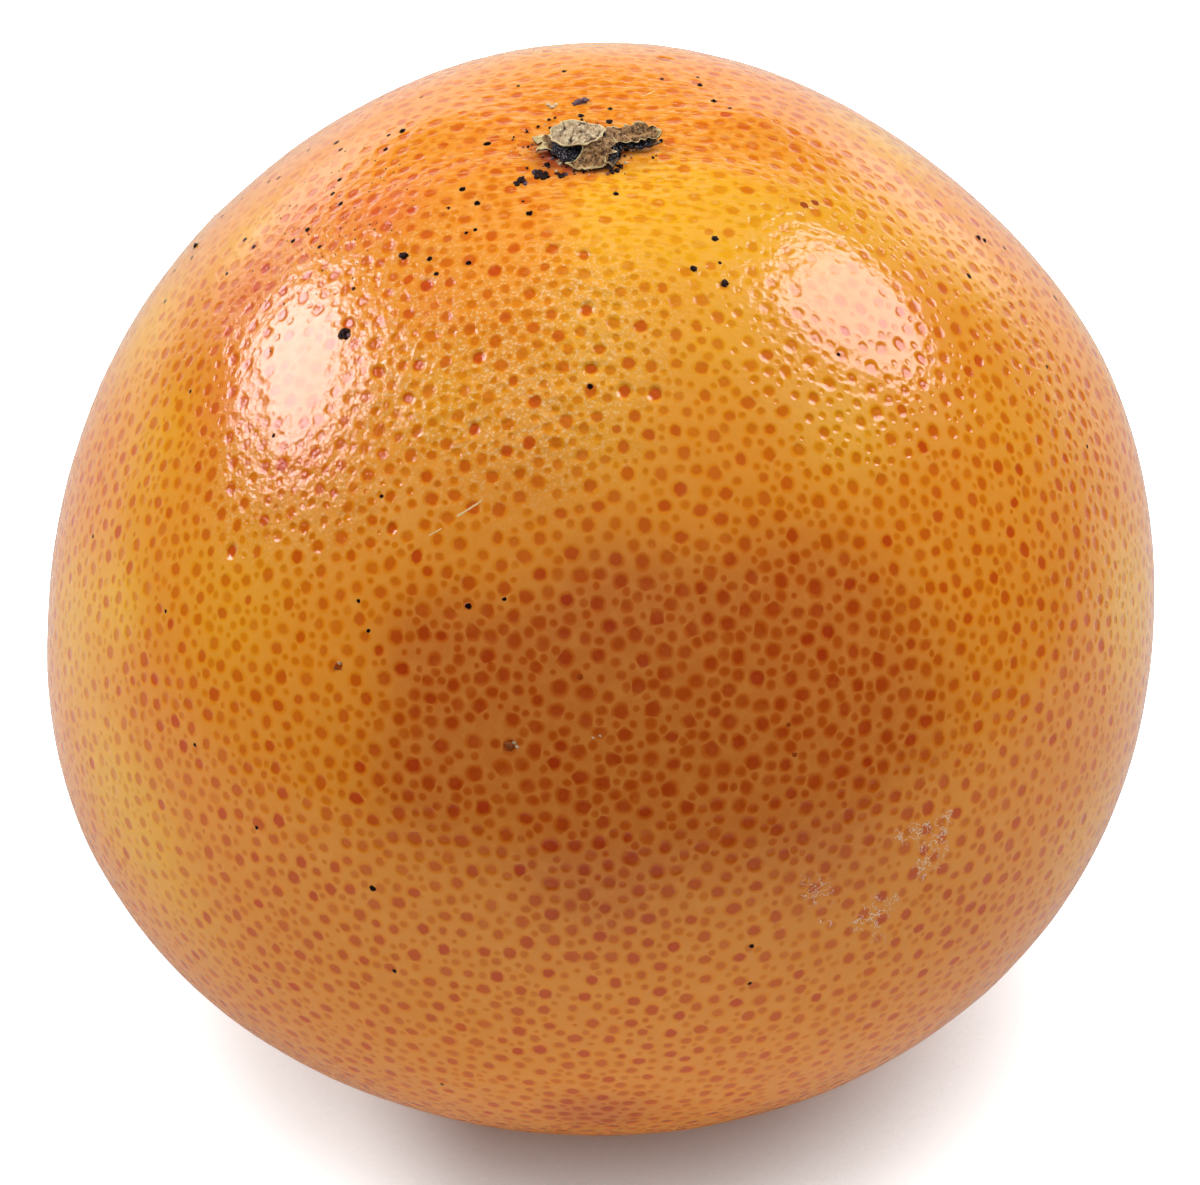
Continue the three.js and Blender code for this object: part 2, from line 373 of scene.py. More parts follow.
# Broad patches of the rind, by kind. First those that the photo shows: x and y in its pixels, spread in
# degrees, strength. Then those on the far side: azimuth, polar angle, spread, strength
PATCHES = {
    # Golden patches are partly the rind's own hue and partly painted light: yellower rind where it is
    # brightly lit, on the rims and round the highlights
    "golden_and_lit": ([
        (225, 620, 9, 0.3), (265, 560, 8, 0.15), (190, 540, 7, 0.1), (150, 440, 9, 0.5),
        (690, 215, 8, 0.6), (615, 235, 6, 0.5), (760, 215, 8, 0.5), (860, 215, 8, 0.5),
        (965, 270, 8, 0.4), (730, 330, 8, 0.4), (1000, 420, 9, 0.3), (590, 320, 7, 0.4),
        (600, 430, 8, 0.4), (440, 400, 7, 0.4), (850, 430, 7, 0.5), (70, 620, 9, 0.7),
        (120, 800, 10, 0.8), (1135, 600, 9, 0.8), (1090, 830, 10, 0.4), (250, 235, 6, 0.5),
        (150, 330, 7, 0.5), (890, 145, 7, 0.8), (190, 930, 9, 0.3), (120, 600, 6, 0.6),
        (610, 195, 4, 0.6), (660, 180, 4, 0.6),
    ], [
        (120, 75, 22, 0.7), (60, 95, 24, 0.5), (95, 30, 12, 0.5), (170, 120, 20, 0.5), (20, 70, 18, 0.5),
        (160, 60, 16, 0.4),
    ]),
    # The blush is the rind's own red, except the patch at the bottom by the seat, which is painted shade
    "blush_and_shade": ([
        (300, 215, 7, 0.5), (240, 300, 6, 0.6), (225, 400, 6, 0.5), (385, 210, 6, 0.7),
        (430, 300, 5, 0.4), (600, 95, 5, 0.2), (520, 105, 6, 0.2), (700, 95, 6, 0.1), (600, 1140, 8, 1.0),
        (300, 470, 6, 0.5), (480, 150, 6, 0.3),
    ], [
        (90, 55, 22, 0.4), (150, 95, 18, 0.4), (35, 60, 20, 0.3), (70, 130, 24, 0.4),
    ]),
    # Deep patches are mostly painted shade: darker, redder rind on the front and the lower side, where little
    # light falls, and by the seat
    "deep_and_shaded": ([
        (500, 690, 10, 0.9), (640, 710, 9, 1.0), (770, 770, 10, 1.0), (420, 790, 8, 0.6),
        (600, 850, 10, 0.8), (620, 600, 7, 0.6), (760, 600, 8, 0.6), (850, 600, 9, 0.5),
        (900, 720, 9, 0.6), (840, 860, 9, 0.3), (420, 640, 6, 0.4), (600, 1115, 6, 0.9),
    ], [
        (100, 115, 24, 0.7), (40, 110, 20, 0.5),
    ]),
    "pebbled": ([
        (430, 330, 8, 1.0), (520, 345, 7, 1.0), (470, 420, 7, 0.9), (400, 240, 7, 0.6),
        (300, 250, 7, 0.7), (330, 480, 6, 0.9), (560, 440, 6, 0.6), (620, 300, 6, 0.6),
        (780, 260, 6, 0.3), (560, 270, 5, 0.6), (250, 500, 6, 0.6), (230, 330, 5, 0.5),
        (235, 430, 5, 0.5), (390, 380, 5, 0.6), (610, 380, 6, 0.4),
    ], [
        (110, 45, 18, 0.8), (60, 85, 16, 0.6), (160, 80, 12, 0.5),
    ]),
    "dimpled": ([
        (850, 420, 6, 0.9), (930, 400, 5, 0.7), (780, 380, 5, 0.7), (760, 290, 4, 0.5),
        (300, 520, 5, 0.9), (400, 500, 5, 0.7), (900, 250, 5, 0.4), (520, 420, 6, 0.6),
        (600, 340, 6, 0.5), (1070, 420, 8, 0.9), (1010, 290, 6, 0.6), (1120, 580, 7, 0.8),
        (1030, 350, 5, 0.6),
    ], [
        (40, 70, 20, 0.8), (120, 65, 18, 0.7),
    ]),
    "bold": ([
        (600, 1010, 14, 1.0), (300, 900, 10, 0.8), (950, 900, 10, 0.9), (1000, 560, 8, 0.4),
        (620, 360, 7, 0.8),
    ], [
        (60, 70, 30, 0.5),
    ]),
    # Faint patches make spots paler and shallower. On the two highlights they are painted highlight: spots
    # washed out where the gloss is brightest
    "faint_and_highlit": ([
        (650, 230, 9, 0.5), (820, 270, 9, 0.9), (580, 110, 8, 0.3), (300, 370, 6, 1.0),
        (240, 210, 8, 0.8), (340, 140, 8, 0.6), (140, 330, 7, 0.6),
    ], [
        (90, 25, 18, 0.5),
    ]),
    "scuff": ([
        (820, 893, 2.2, 0.8), (826, 924, 1.8, 0.6), (868, 921, 2.1, 0.9), (883, 907, 2.0, 0.9),
        (930, 864, 2.4, 0.9), (900, 836, 2.0, 0.7), (943, 825, 2.4, 0.8), (878, 943, 1.3, 0.7),
        (795, 950, 1.6, 0.5), (838, 961, 1.2, 0.6), (804, 880, 2.0, 0.5), (862, 830, 2.0, 0.5),
        (925, 838, 1.8, 0.6),
    ], [
        (75, 80, 5, 0.8), (130, 105, 4, 0.7),
    ]),
}


def patches(toward, seen, far):
    """Sum of strength times a bell for each patch of one kind, from 0 to 1."""
    total = np.zeros(toward.shape[:-1])
    for x, y, spread, strength in seen:
        angle = np.degrees(np.arccos(np.clip(toward @ seen_at([(x, y)])[0], -1, 1)))
        total += strength * np.exp(-((angle / spread) ** 2))
    for azimuth, polar, spread, strength in far:
        total += strength * bell(toward, azimuth, polar, spread)
    return np.clip(total, 0, 1)


# Dark specks on the rind, as the photo shows them: x and y in its pixels, radius
SPECKS_SEEN = [
    (382, 96, 0.25), (388, 134, 0.22), (336, 142, 0.32), (340, 149, 0.25), (308, 149, 0.25),
    (385, 148, 0.26), (402, 130, 0.36), (268, 181, 0.25), (278, 177, 0.25), (339, 179, 0.24),
    (332, 193, 0.26), (340, 203, 0.28), (242, 198, 0.26), (221, 216, 0.26), (307, 229, 0.28),
    (292, 240, 0.28), (244, 239, 0.26), (253, 246, 0.26), (319, 246, 0.24), (195, 245, 0.45),
    (191, 257, 0.26), (174, 270, 0.26), (226, 273, 0.2), (164, 301, 0.26), (353, 288, 0.2),
    (189, 391, 0.2), (448, 207, 0.2), (477, 203, 0.2), (466, 232, 0.2), (475, 229, 0.2), (404, 255, 0.4),
    (429, 258, 0.3), (468, 262, 0.3), (436, 273, 0.25), (273, 435, 0.2), (381, 496, 0.2), (564, 70, 0.25),
    (518, 85, 0.2), (662, 78, 0.2), (698, 76, 0.2), (700, 84, 0.3), (714, 100, 0.3), (730, 107, 0.2),
    (487, 143, 0.35), (462, 188, 0.3), (477, 202, 0.3), (529, 212, 0.35), (616, 193, 0.3),
    (715, 238, 0.35), (610, 108, 0.25), (609, 121, 0.35), (581, 115, 0.3), (725, 283, 0.4),
    (694, 268, 0.35), (979, 237, 0.3), (985, 240, 0.3), (1005, 247, 0.25), (970, 275, 0.3),
    (1056, 297, 0.3), (1048, 366, 0.2), (1088, 446, 0.2), (839, 354, 0.2), (468, 606, 0.3),
    (504, 599, 0.2), (358, 601, 0.2), (368, 631, 0.2), (394, 972, 0.25), (442, 1085, 0.2),
    (752, 947, 0.25), (750, 984, 0.2), (92, 536, 0.2), (194, 745, 0.2), (165, 611, 0.2), (590, 386, 0.3),
    (720, 262, 0.2), (343, 333, 0.55), (256, 828, 0.2), (372, 889, 0.3), (547, 176, 0.3), (561, 175, 0.3),
    (547, 164, 0.3), (523, 200, 0.15), (421, 96, 0.2), (455, 64, 0.15),
]
# Brown scabs, in the same way
SCABS_SEEN = [
    (338, 666, 0.4), (509, 746, 0.55), (580, 677, 0.28), (805, 204, 0.45), (816, 202, 0.4),
    (795, 755, 0.26), (789, 725, 0.24),
]
# Pale scratches: x and y of both ends, half width
SCRATCHES_SEEN = [(450, 521, 481, 501, 0.09), (424, 538, 444, 527, 0.06), (640, 96, 656, 90, 0.06)]
PEPPER_SEEN = (335, 215, 8) # x, y and spread of the finest specks
PEPPER_COUNT = 120
PEPPER_RADII = (0.05, 0.11)
FAR_SPECKS = 170
FAR_RADII = (0.1, 0.3) # the least, and what the largest have more
FAR_SIDE = 0.05 # the far side is where a direction's share towards the camera is less than this
BLACK, BROWN, PALE = 0.0, 0.6, 1.0 # tones of the marks
MARK_EDGE = 1.5 # where a mark ends, in half widths, with room for its ragged edge
MARK_REACH = 1.2 # how far past its end it may still be drawn
MARK_NEAR = 3 # how far from a mark's ends its offset is worked out
FAR_AWAY = 9.0 # offset that stands for no mark
STAIN = (204, 2.7, 4.9) # azimuth, polar angle and spread of the stained rind round the calyx


def scatter_marks():
    """The marks on the rind: both ends as directions, the half width and the tone. They are those that
    the photo shows, a fine pepper beside the blush and a thin seeded scatter on the far side."""
    specks = seen_at([(x, y) for x, y, _ in SPECKS_SEEN])
    scabs = seen_at([(x, y) for x, y, _ in SCABS_SEEN])
    starts = seen_at([(x, y) for x, y, *_ in SCRATCHES_SEEN])
    stops = seen_at([(x, y) for _, _, x, y, _ in SCRATCHES_SEEN])
    middle = seen_at([PEPPER_SEEN[:2]])
    first, second = tangents(middle)
    throw = rng.normal(0, np.radians(PEPPER_SEEN[2]) / 1.4, (PEPPER_COUNT, 2))
    pepper = normalised(middle + throw[:, :1] * first + throw[:, 1:] * second)
    far = normalised(rng.normal(size=(FAR_SPECKS * 3, 3)) + [0, 0.9, 0.5])
    far = far[far @ camera_back < FAR_SIDE][:FAR_SPECKS]
    from_here = np.concatenate([specks, scabs, starts, pepper, far])
    to_here = np.concatenate([specks, scabs, stops, pepper, far])
    radii = np.concatenate([
        [r for _, _, r in SPECKS_SEEN],
        [r for _, _, r in SCABS_SEEN],
        [r for *_, r in SCRATCHES_SEEN],
        rng.uniform(*PEPPER_RADII, PEPPER_COUNT),
        FAR_RADII[0] + FAR_RADII[1] * rng.uniform(size=len(far)) ** 3,
    ])
    tones = np.concatenate([
        np.full(len(SPECKS_SEEN), BLACK),
        np.full(len(SCABS_SEEN), BROWN),
        np.full(len(SCRATCHES_SEEN), PALE),
        np.full(PEPPER_COUNT, BLACK),
        np.where(rng.uniform(size=len(far)) > 0.9, BROWN, BLACK),
    ])
    return from_here, to_here, radii, tones


def mark_offsets(points, starts, stops, radii):
    """Offset of each point from its mark, over the mark's half width: how far it lies past the mark's
    ends, and how far beside the line between them."""
    line = stops - starts
    length = np.linalg.norm(line, axis=-1, keepdims=True)
    sideways = tangents(normalised(starts - MIDDLE))[0]
    along = np.where(length > 1e-6, line / np.maximum(length, 1e-6), sideways)
    across = np.cross(normalised(starts - MIDDLE), along)
    gone = ((points - starts) * along).sum(-1)
    past = gone - np.clip(gone, 0, length[..., 0])
    beside = ((points - starts) * across).sum(-1)
    return np.stack([past, beside], -1) / radii[..., None]


# What a patch of full strength adds to a gland's share of the depth, tone and radius of its kind
DEPTH_GAINS = {"near_stalk": 0.8, "pebbled": 0.2, "dimpled": 1.5, "faint_and_highlit": -0.9}
TONE_GAINS = {"bold": 0.4, "faint_and_highlit": -0.75, "golden_and_lit": -0.1}
RADIUS_GAINS = {"bold": 0.06, "dimpled": -0.14}
LEAST_DEPTH = 0.2
LEAST_TONE = 0.12
TONE_SCATTER = 0.09
RED_SCATTER = 0.14
PIT_CHANCE = 0.16 # that a gland of the largest kind is a deep pit, on pebbled rind that isn't faint
PIT_CLEAR = 0.45
PIT_DEPTHS = (0.12, 0.20)
DEPTH_SCATTER = (0.6, 1.4) # shares of a dimple's depth
OVALNESS = (0.9, 1.12) # shares of a spot's width across, and of its height the other way round
PIT_TONE = 0.3 # what a pit adds to its gland's tone
DARK_CHANCE = 0.10 # that a gland of the two largest kinds is very dark
DARK_TONE, DARK_RED = 0.2, 0.3 # what that adds to its tone and redness
BLUSH_RED = 0.35 # what a blush adds to the redness
GOLDEN_RED = 0.3 # share of the redness that golden skin takes away
STALK_SPREAD = 24 # of the deeper dimples near the stalk
LIP_SPREAD = 22 # of the streaks and wrinkles on the lip of the basin
BUMPS = (0.008, 0.03) # height of the small bumps, and how much higher they are where it is pebbled
SUNK_SHARE = 0.5 # share of a dimple's depth that the mesh has. The rest is in the material
RIND_INSET = 0.10 # how far the rind lies under the smooth fruit, so that no bump stands over its box
SEAT_EDGE = 1.5 # height over which the rind's relief grows from none at the seat


def gained(shares, gains):
    """1 plus each share times its gain."""
    total = 1.0
    for name, gain in gains.items():
        total = total + gain * shares[name]
    return total


def gland_looks(radii, kinds, shares):
    """Radius of every gland, and its tone, redness and depth: those of its kind times what the patches
    add to them, scattered, with a few deep pits and a few very dark spots."""
    count = len(radii)
    table = np.array([kind[4:] for kind in GLAND_KINDS])
    strength, redness, depth = table[kinds].T
    pit = (kinds == 0) & (rng.uniform(size=count) < PIT_CHANCE * shares["pebbled"])
    pit &= shares["faint_and_highlit"] < PIT_CLEAR
    depth = depth * np.maximum(gained(shares, DEPTH_GAINS), LEAST_DEPTH)
    depth = depth * rng.uniform(*DEPTH_SCATTER, count)
    depth = depth + pit * rng.uniform(*PIT_DEPTHS, count)
    tone = strength * gained(shares, TONE_GAINS) + rng.normal(0, TONE_SCATTER, count)
    very_dark = (kinds < 2) & (rng.uniform(size=count) < DARK_CHANCE)
    tone = np.clip(tone + DARK_TONE * very_dark + PIT_TONE * pit, LEAST_TONE, 1)
    red = redness * (1 - GOLDEN_RED * shares["golden_and_lit"]) + BLUSH_RED * shares["blush_and_shade"]
    red = np.clip(red + rng.normal(0, RED_SCATTER, count) + DARK_RED * very_dark + pit, 0, 1)
    return radii * gained(shares, RADIUS_GAINS), np.stack([tone, red, depth], 1)


def nearest_marks(corners):
    """For each triangle, the offset of its corners from the mark that is nearest to its middle, and that
    mark's tone. The gap to a mark is the offset less that of its edge, times its half width."""
    starts, stops, radii, tones = scatter_marks()
    starts, stops = fruit_points(starts), fruit_points(stops)
    middles = corners.mean(1)
    gaps = np.full(len(corners), np.inf)
    nearest = np.zeros(len(corners), int)
    for index, radius in enumerate(radii):
        ends = (starts[index : index + 1], stops[index : index + 1])
        reach = np.linalg.norm(middles - ends[0], axis=1)
        close = np.flatnonzero(reach < MARK_NEAR + 2 * radius + np.linalg.norm(ends[1] - ends[0]))
        offset = mark_offsets(middles[close], *ends, np.full(1, radius))
        gap = (np.linalg.norm(offset, axis=1) - MARK_EDGE) * radius
        closer = gap < gaps[close]
        gaps[close[closer]], nearest[close[closer]] = gap[closer], index
    chosen = (starts[nearest][:, None], stops[nearest][:, None], radii[nearest][:, None])
    offset = mark_offsets(corners, *chosen)
    offset[gaps > MARK_REACH] = FAR_AWAY
    return offset, tones[nearest]


def make_rind():
    """The rind: one cell for each oil gland, a fan of triangles from the sunken gland to the cell's
    raised border. Every corner keeps its offset from its own gland, from the gland over the border and
    from the nearest mark, each over that spot's radius, so a material can draw them round and sharp."""
    directions, radii, kinds = scatter_glands()
    glands, borders, edges, left, right = cells_of(directions)
    own, other = edges[:, 0], edges[:, 1]
    count = len(glands)
    toward = np.concatenate([glands, borders])
    shares = {name: patches(toward, *tables) for name, tables in PATCHES.items()}
    shares["near_stalk"] = bell(toward, 0, 0, STALK_SPREAD)
    at_glands = {name: share[:count] for name, share in shares.items()}
    radii = np.append(radii, SEAM_RADIUS)
    kinds = np.append(kinds, len(GLAND_KINDS) - 1)
    radii, looks = gland_looks(radii, kinds, at_glands)

    smooth_points = fruit_points(toward)
    bumps = BUMPS[0] + BUMPS[1] * shares["pebbled"]
    lift = ripple("rind_swell", smooth_points) + bumps * ripple("rind_bumps", smooth_points)
    flat = np.clip(smooth_points[:, 2] / SEAT_EDGE, 0, 1)
    lift = (lift - RIND_INSET) * flat
    lift[:count] -= SUNK_SHARE * looks[:, 2] * flat[:count]
    points = smooth_points + fruit_normals(toward) * lift[:, None]
    points[:, 2] = np.maximum(points[:, 2], 0)
    triangles = np.stack([own, count + right, count + left], 1)
    piece = new_mesh("rind", points, triangles)

    first, second = tangents(glands)
    stretch = rng.uniform(*OVALNESS, count)

    def offsets(gland):
        """Offset of each corner from a gland, across and along, over the gland's radius."""
        away = smooth_points[triangles] - smooth_points[gland][:, None]
        across = (away * first[gland][:, None]).sum(-1) * stretch[gland][:, None]
        along = (away * second[gland][:, None]).sum(-1) / stretch[gland][:, None]
        return np.stack([across, along], -1) / radii[gland][:, None, None]

    for name, gland in {"own": own, "next": other}.items():
        add_uv(piece, name + "_gland", offsets(gland))
        add_attribute(piece, name + "_look", "FLOAT_VECTOR", "FACE", looks[gland])
    hues = [shares[name] for name in ("blush_and_shade", "golden_and_lit", "deep_and_shaded")]
    relief = [shares["pebbled"], bell(toward, 0, 0, LIP_SPREAD), shares["scuff"]]
    add_attribute(piece, "hues", "FLOAT_VECTOR", "POINT", np.stack(hues, 1))
    add_attribute(piece, "relief", "FLOAT_VECTOR", "POINT", np.stack(relief, 1))
    add_attribute(piece, "stain", "FLOAT", "POINT", bell(toward, *STAIN))
    add_attribute(piece, "hammered", "FLOAT", "POINT", shares["dimpled"])
    mark, mark_tone = nearest_marks(smooth_points[triangles])
    add_uv(piece, "mark", mark)
    add_attribute(piece, "mark_tone", "FLOAT", "FACE", mark_tone)
    return piece


def linear(code):
    """An sRGB hex colour as linear red, green and blue, with an alpha of 1."""
    channels = [int(code[i : i + 2], 16) / 255 for i in (1, 3, 5)]
    return [c / 12.92 if c <= 0.04045 else ((c + 0.055) / 1.055) ** 2.4 for c in channels] + [1.0]


def add_node(tree, kind, inputs=None, output=0, **settings):
    """Adds a shader node of one kind with its settings. Its sockets, by name or number, take values or
    the outputs of other nodes. Gives back one of its own outputs, or all of them for output=None."""
    node = tree.nodes.new("ShaderNode" + kind)
    for name, value in settings.items():
        setattr(node, name, value)
    for socket, value in (inputs or {}).items():
        if isinstance(value, bpy.types.NodeSocket):
            tree.links.new(value, node.inputs[socket])
        else:
            node.inputs[socket].default_value = value
    outputs = list(node.outputs)
    return outputs if output is None or not outputs else node.outputs[output]


def new_material(name, noises):
    """An empty material with its noises. Gives back the material, the function that adds nodes to it, its
    object coordinates and the noises by name, each with a grain's size, its detail and its roughness."""
    material = bpy.data.materials.new(name)
    material.use_nodes = True
    material.node_tree.nodes.clear()
    add = functools.partial(add_node, material.node_tree)
    place = add("TexCoord", output="Object")
    noise = {}
    for grain, (size, detail, rough) in noises.items():
        settings = {"Vector": place, "Scale": 1 / (size * MM), "Detail": detail, "Roughness": rough}
        noise[grain] = add("TexNoise", settings)
    return material, add, place, noise


def layered(add, colour, layers, **settings):
    """Lays colours over a colour. Each grows from none to its most as what it follows goes from one value
    to another."""
    for follows, low, high, most, tint in layers:
        share = {"Value": follows, "From Min": low, "From Max": high, "To Max": most}
        share = add("MapRange", share, **settings)
        colour = add("Mix", {0: share, 6: colour, 7: linear(tint)}, 2, data_type="RGBA")
    return colour


def finish_dry(add, colour, heights, rough, ior):
    """The surface of a dry piece: its colour, noises that stand up from it by a height in mm, its
    roughness and its refraction."""
    height = 0.0
    for noise, most in heights:
        height = add("Math", {0: noise, 1: most, 2: height}, operation="MULTIPLY_ADD")
    normal = add("Bump", {"Strength": 1.0, "Distance": MM, "Height": height})
    skin = {"Base Color": colour, "Roughness": rough, "Normal": normal, "IOR": ior}
    add("OutputMaterial", {"Surface": add("BsdfPrincipled", skin)})


# Noises of the rind: size of a grain, detail, roughness
RIND_NOISES = {
    "drift": (14.0, 3.0, 0.5), # broad drifts of colour
    "mottle": (1.6, 3.0, 0.6), # blotches between the glands
    "wobble": (0.45, 2.0, 0.5), # bends the edges of the spots
    "ragged": (0.25, 2.0, 0.5), # bends the edges of the specks
    "glint_speckle": (0.32, 3.0, 0.7), # scuffed and flaking wax
    "curl": (0.85, 2.0, 0.6), # its middle value runs in thin curls
    "grain": (0.34, 2.0, 0.6), # painted glints on pebbled skin
    "waves": (0.95, 1.0, 0.5), # wrinkles
    "folds": (2.4, 1.0, 0.5), # soft bumps that make a reflection ragged
    "polish": (2.5, 2.0, 0.5), # uneven gloss
}
STREAK_SIZE = 0.55
SMOOTH = {"interpolation_type": "SMOOTHSTEP"}
WAX_IOR = 1.45
CLEAR = (1.0, 1.0, 1.0, 1.0)
BROWN_GLAND = (0.78, 0.52, 0.50, 1.0) # what is left of red, green and blue under a brown gland
BRICK_GLAND = (0.74, 0.29, 0.46, 1.0) # and under a brick-red one


def rind_material():
    """Grapefruit rind: a waxy skin over oil glands. It is golden orange, with round red-brown spots where the
    glands show through, a dimple in each, and a satin gloss that the dimples break up. Its colour also holds
    painted light: yellower where brightly lit, darker on the shaded front and at the bottom, pale painted
    glints between the glands and on pebbled skin, paler spots under the highlights, and painted highlights
    and shade in the streaks by the calyx."""
    material, add, place, noise = new_material("citrus_rind", RIND_NOISES)
    hues = add("Attribute", output="Vector", attribute_name="hues")
    blush_and_shade, golden_and_lit, deep_and_shaded = add("SeparateXYZ", {0: hues}, None)
    relief = add("Attribute", output="Vector", attribute_name="relief")
    pebbled, lip, scuff = add("SeparateXYZ", {0: relief}, None)

    # Each patch is a bell with its edge broken up by a noise: patch, noise and its share, then from, to,
    # most and colour
    colour = linear("#EB8E17")
    shifts = [
        # Partly painted light: yellower where the rind is brightly lit
        (golden_and_lit, "drift", 0.30, 0.15, 0.95, 1.00, "#F2B016"),
        # Painted shade: darker and redder on the front and the lower side
        (deep_and_shaded, "drift", 0.20, 0.10, 1.00, 0.90, "#C65C15"),
        # The rind's own red, with painted shade at the bottom
        (blush_and_shade, "mottle", 0.30, 0.25, 1.10, 0.75, "#E8703A"),
        (0.0, "mottle", 1.00, 0.40, 0.75, 0.20, "#F6B050"),
    ]
    for hue, grain, part, *layer in shifts:
        patch = add("Math", {0: noise[grain], 1: part, 2: hue}, operation="MULTIPLY_ADD")
        colour = layered(add, colour, [(patch, *layer)], **SMOOTH)

    # A gland filters the colour of the skin. Its edge wobbles, and it is a shallow dimple
    wobble = add("Math", {0: noise["wobble"], 1: 0.55, 2: -0.275}, operation="MULTIPLY_ADD")
    dimples = 0.0
    for side in ("own", "next"):
        look = add("Attribute", output="Vector", attribute_name=side + "_look")
        tone, red, depth = add("SeparateXYZ", {0: look}, None)
        reach = add("VectorMath", {0: add("UVMap", uv_map=side + "_gland")}, "Value", operation="LENGTH")
        edge = add("Math", {0: reach, 1: wobble}, operation="ADD")
        spot = {"Value": edge, "From Min": 0.66, "From Max": 1.14, "To Min": 1.0, "To Max": 0.0}
        spot = add("Math", {0: add("MapRange", spot, **SMOOTH), 1: tone}, operation="MULTIPLY")
        gland = add("Mix", {0: red, 6: BROWN_GLAND, 7: BRICK_GLAND}, 2, data_type="RGBA")
        gland = add("Mix", {0: spot, 6: CLEAR, 7: gland}, 2, data_type="RGBA")
        colour = add("Mix", {0: 1.0, 6: colour, 7: gland}, 2, data_type="RGBA", blend_type="MULTIPLY")
        rim = add("Math", {0: depth, 1: 1.6, 2: 1.25}, operation="MULTIPLY_ADD")
        hollow = {"Value": reach, "From Min": 0.45, "From Max": rim, "To Min": 1.0, "To Max": 0.0}
        hollow = add("MapRange", hollow, **SMOOTH)
        dimples = add("Math", {0: hollow, 1: depth, 2: dimples}, operation="MULTIPLY_ADD")
        if side == "own":
            between = add("MapRange", {"Value": reach, "From Min": 0.85, "From Max": 1.25}, **SMOOTH)
            painted_net_glints = {"Value": reach, "From Min": 1.05, "From Max": 1.6, "To Max": 0.22}
            painted_net_glints = add("MapRange", painted_net_glints, **SMOOTH)

    # Painted highlight: a pale net between the glands, where their ridges would glint, weak on the blush and
    # strong where the skin looks hammered
    plain = add("MapRange", {"Value": blush_and_shade, "From Max": 0.8, "To Min": 1.0, "To Max": 0.25})
    hammered = add("Attribute", output="Fac", attribute_name="hammered")
    lit = add("Math", {0: hammered, 1: 1.6, 2: plain}, operation="MULTIPLY_ADD")
    painted_net_glints = add("Math", {0: painted_net_glints, 1: lit}, operation="MULTIPLY")
    colour = add("Mix", {0: painted_net_glints, 6: colour, 7: linear("#F8B860")}, 2, data_type="RGBA")

    # Pale and deep streaks where the skin is drawn in towards the calyx: painted highlights and painted shade
    # on its wrinkles, which the same noise raises
    drawn_in = add("VectorMath", {0: place, 1: (0.35, 1.0, 1.0)}, operation="MULTIPLY")
    streaks = {"Vector": drawn_in, "Scale": 1 / (STREAK_SIZE * MM), "Detail": 2.0, "Roughness": 0.55}
    streaks = add("TexNoise", streaks)
    near_calyx = add("Math", {0: lip, 1: 1.8}, operation="POWER")
    for low, high, tint in ((0.54, 0.62, "#F9C478"), (0.45, 0.37, "#D4601A")):
        share = {"Value": streaks, "From Min": low, "From Max": high, "To Max": 0.50}
        share = add("Math", {0: add("MapRange", share, **SMOOTH), 1: near_calyx}, operation="MULTIPLY")
        colour = add("Mix", {0: share, 6: colour, 7: linear(tint)}, 2, data_type="RGBA")

    # Stained skin round the calyx, cream grains on pebbled skin that are painted glints, curls of loose wax
    # where it is scuffed
    stain = add("Attribute", output="Fac", attribute_name="stain")
    stain = add("Math", {0: noise["mottle"], 1: 0.5, 2: stain}, operation="MULTIPLY_ADD")
    colour = layered(add, colour, [(stain, 0.42, 1.05, 0.9, "#AC4030")], **SMOOTH)
    painted_glint_grains = {"Value": noise["glint_speckle"], "From Min": 0.52, "From Max": 0.62, "To Max": 0.8}
    painted_glint_grains = add("MapRange", painted_glint_grains, **SMOOTH)
    for share in (pebbled, between, plain):
        painted_glint_grains = add("Math", {0: painted_glint_grains, 1: share}, operation="MULTIPLY")
    colour = add("Mix", {0: painted_glint_grains, 6: colour, 7: linear("#FAD096")}, 2, data_type="RGBA")
    curl = add("Math", {0: noise["curl"], 1: 0.5, 2: 0.020}, operation="COMPARE")
    loose = add("Math", {0: scuff, 1: noise["waves"]}, operation="MULTIPLY")
    flakes = add("MapRange", {"Value": loose, "From Min": 0.22, "From Max": 0.40}, **SMOOTH)
    flakes = add("Math", {0: flakes, 1: curl}, operation="MULTIPLY")
    pale = add("Math", {0: flakes, 1: 0.8}, operation="MULTIPLY")
    colour = add("Mix", {0: pale, 6: colour, 7: linear("#F8DCBC")}, 2, data_type="RGBA")

    # Specks, scabs and scratches
    reach = add("VectorMath", {0: add("UVMap", uv_map="mark")}, "Value", operation="LENGTH")
    tone = add("Attribute", output="Fac", attribute_name="mark_tone")
    ragged = add("Math", {0: noise["ragged"], 1: 1.1, 2: -0.60}, operation="MULTIPLY_ADD")
    edge = add("Math", {0: reach, 1: ragged}, operation="ADD")
    mark = {"Value": edge, "From Min": 0.75, "From Max": 1.05, "To Min": 1.0, "To Max": 0.0}
    mark = add("MapRange", mark, **SMOOTH)
    tones = [(tone, BLACK, BROWN, 1.0, "#A0460A"), (tone, BROWN, PALE, 1.0, "#F6D69A")]
    mark_colour = layered(add, linear("#140605"), tones)
    colour = add("Mix", {0: mark, 6: colour, 7: mark_colour}, 2, data_type="RGBA")

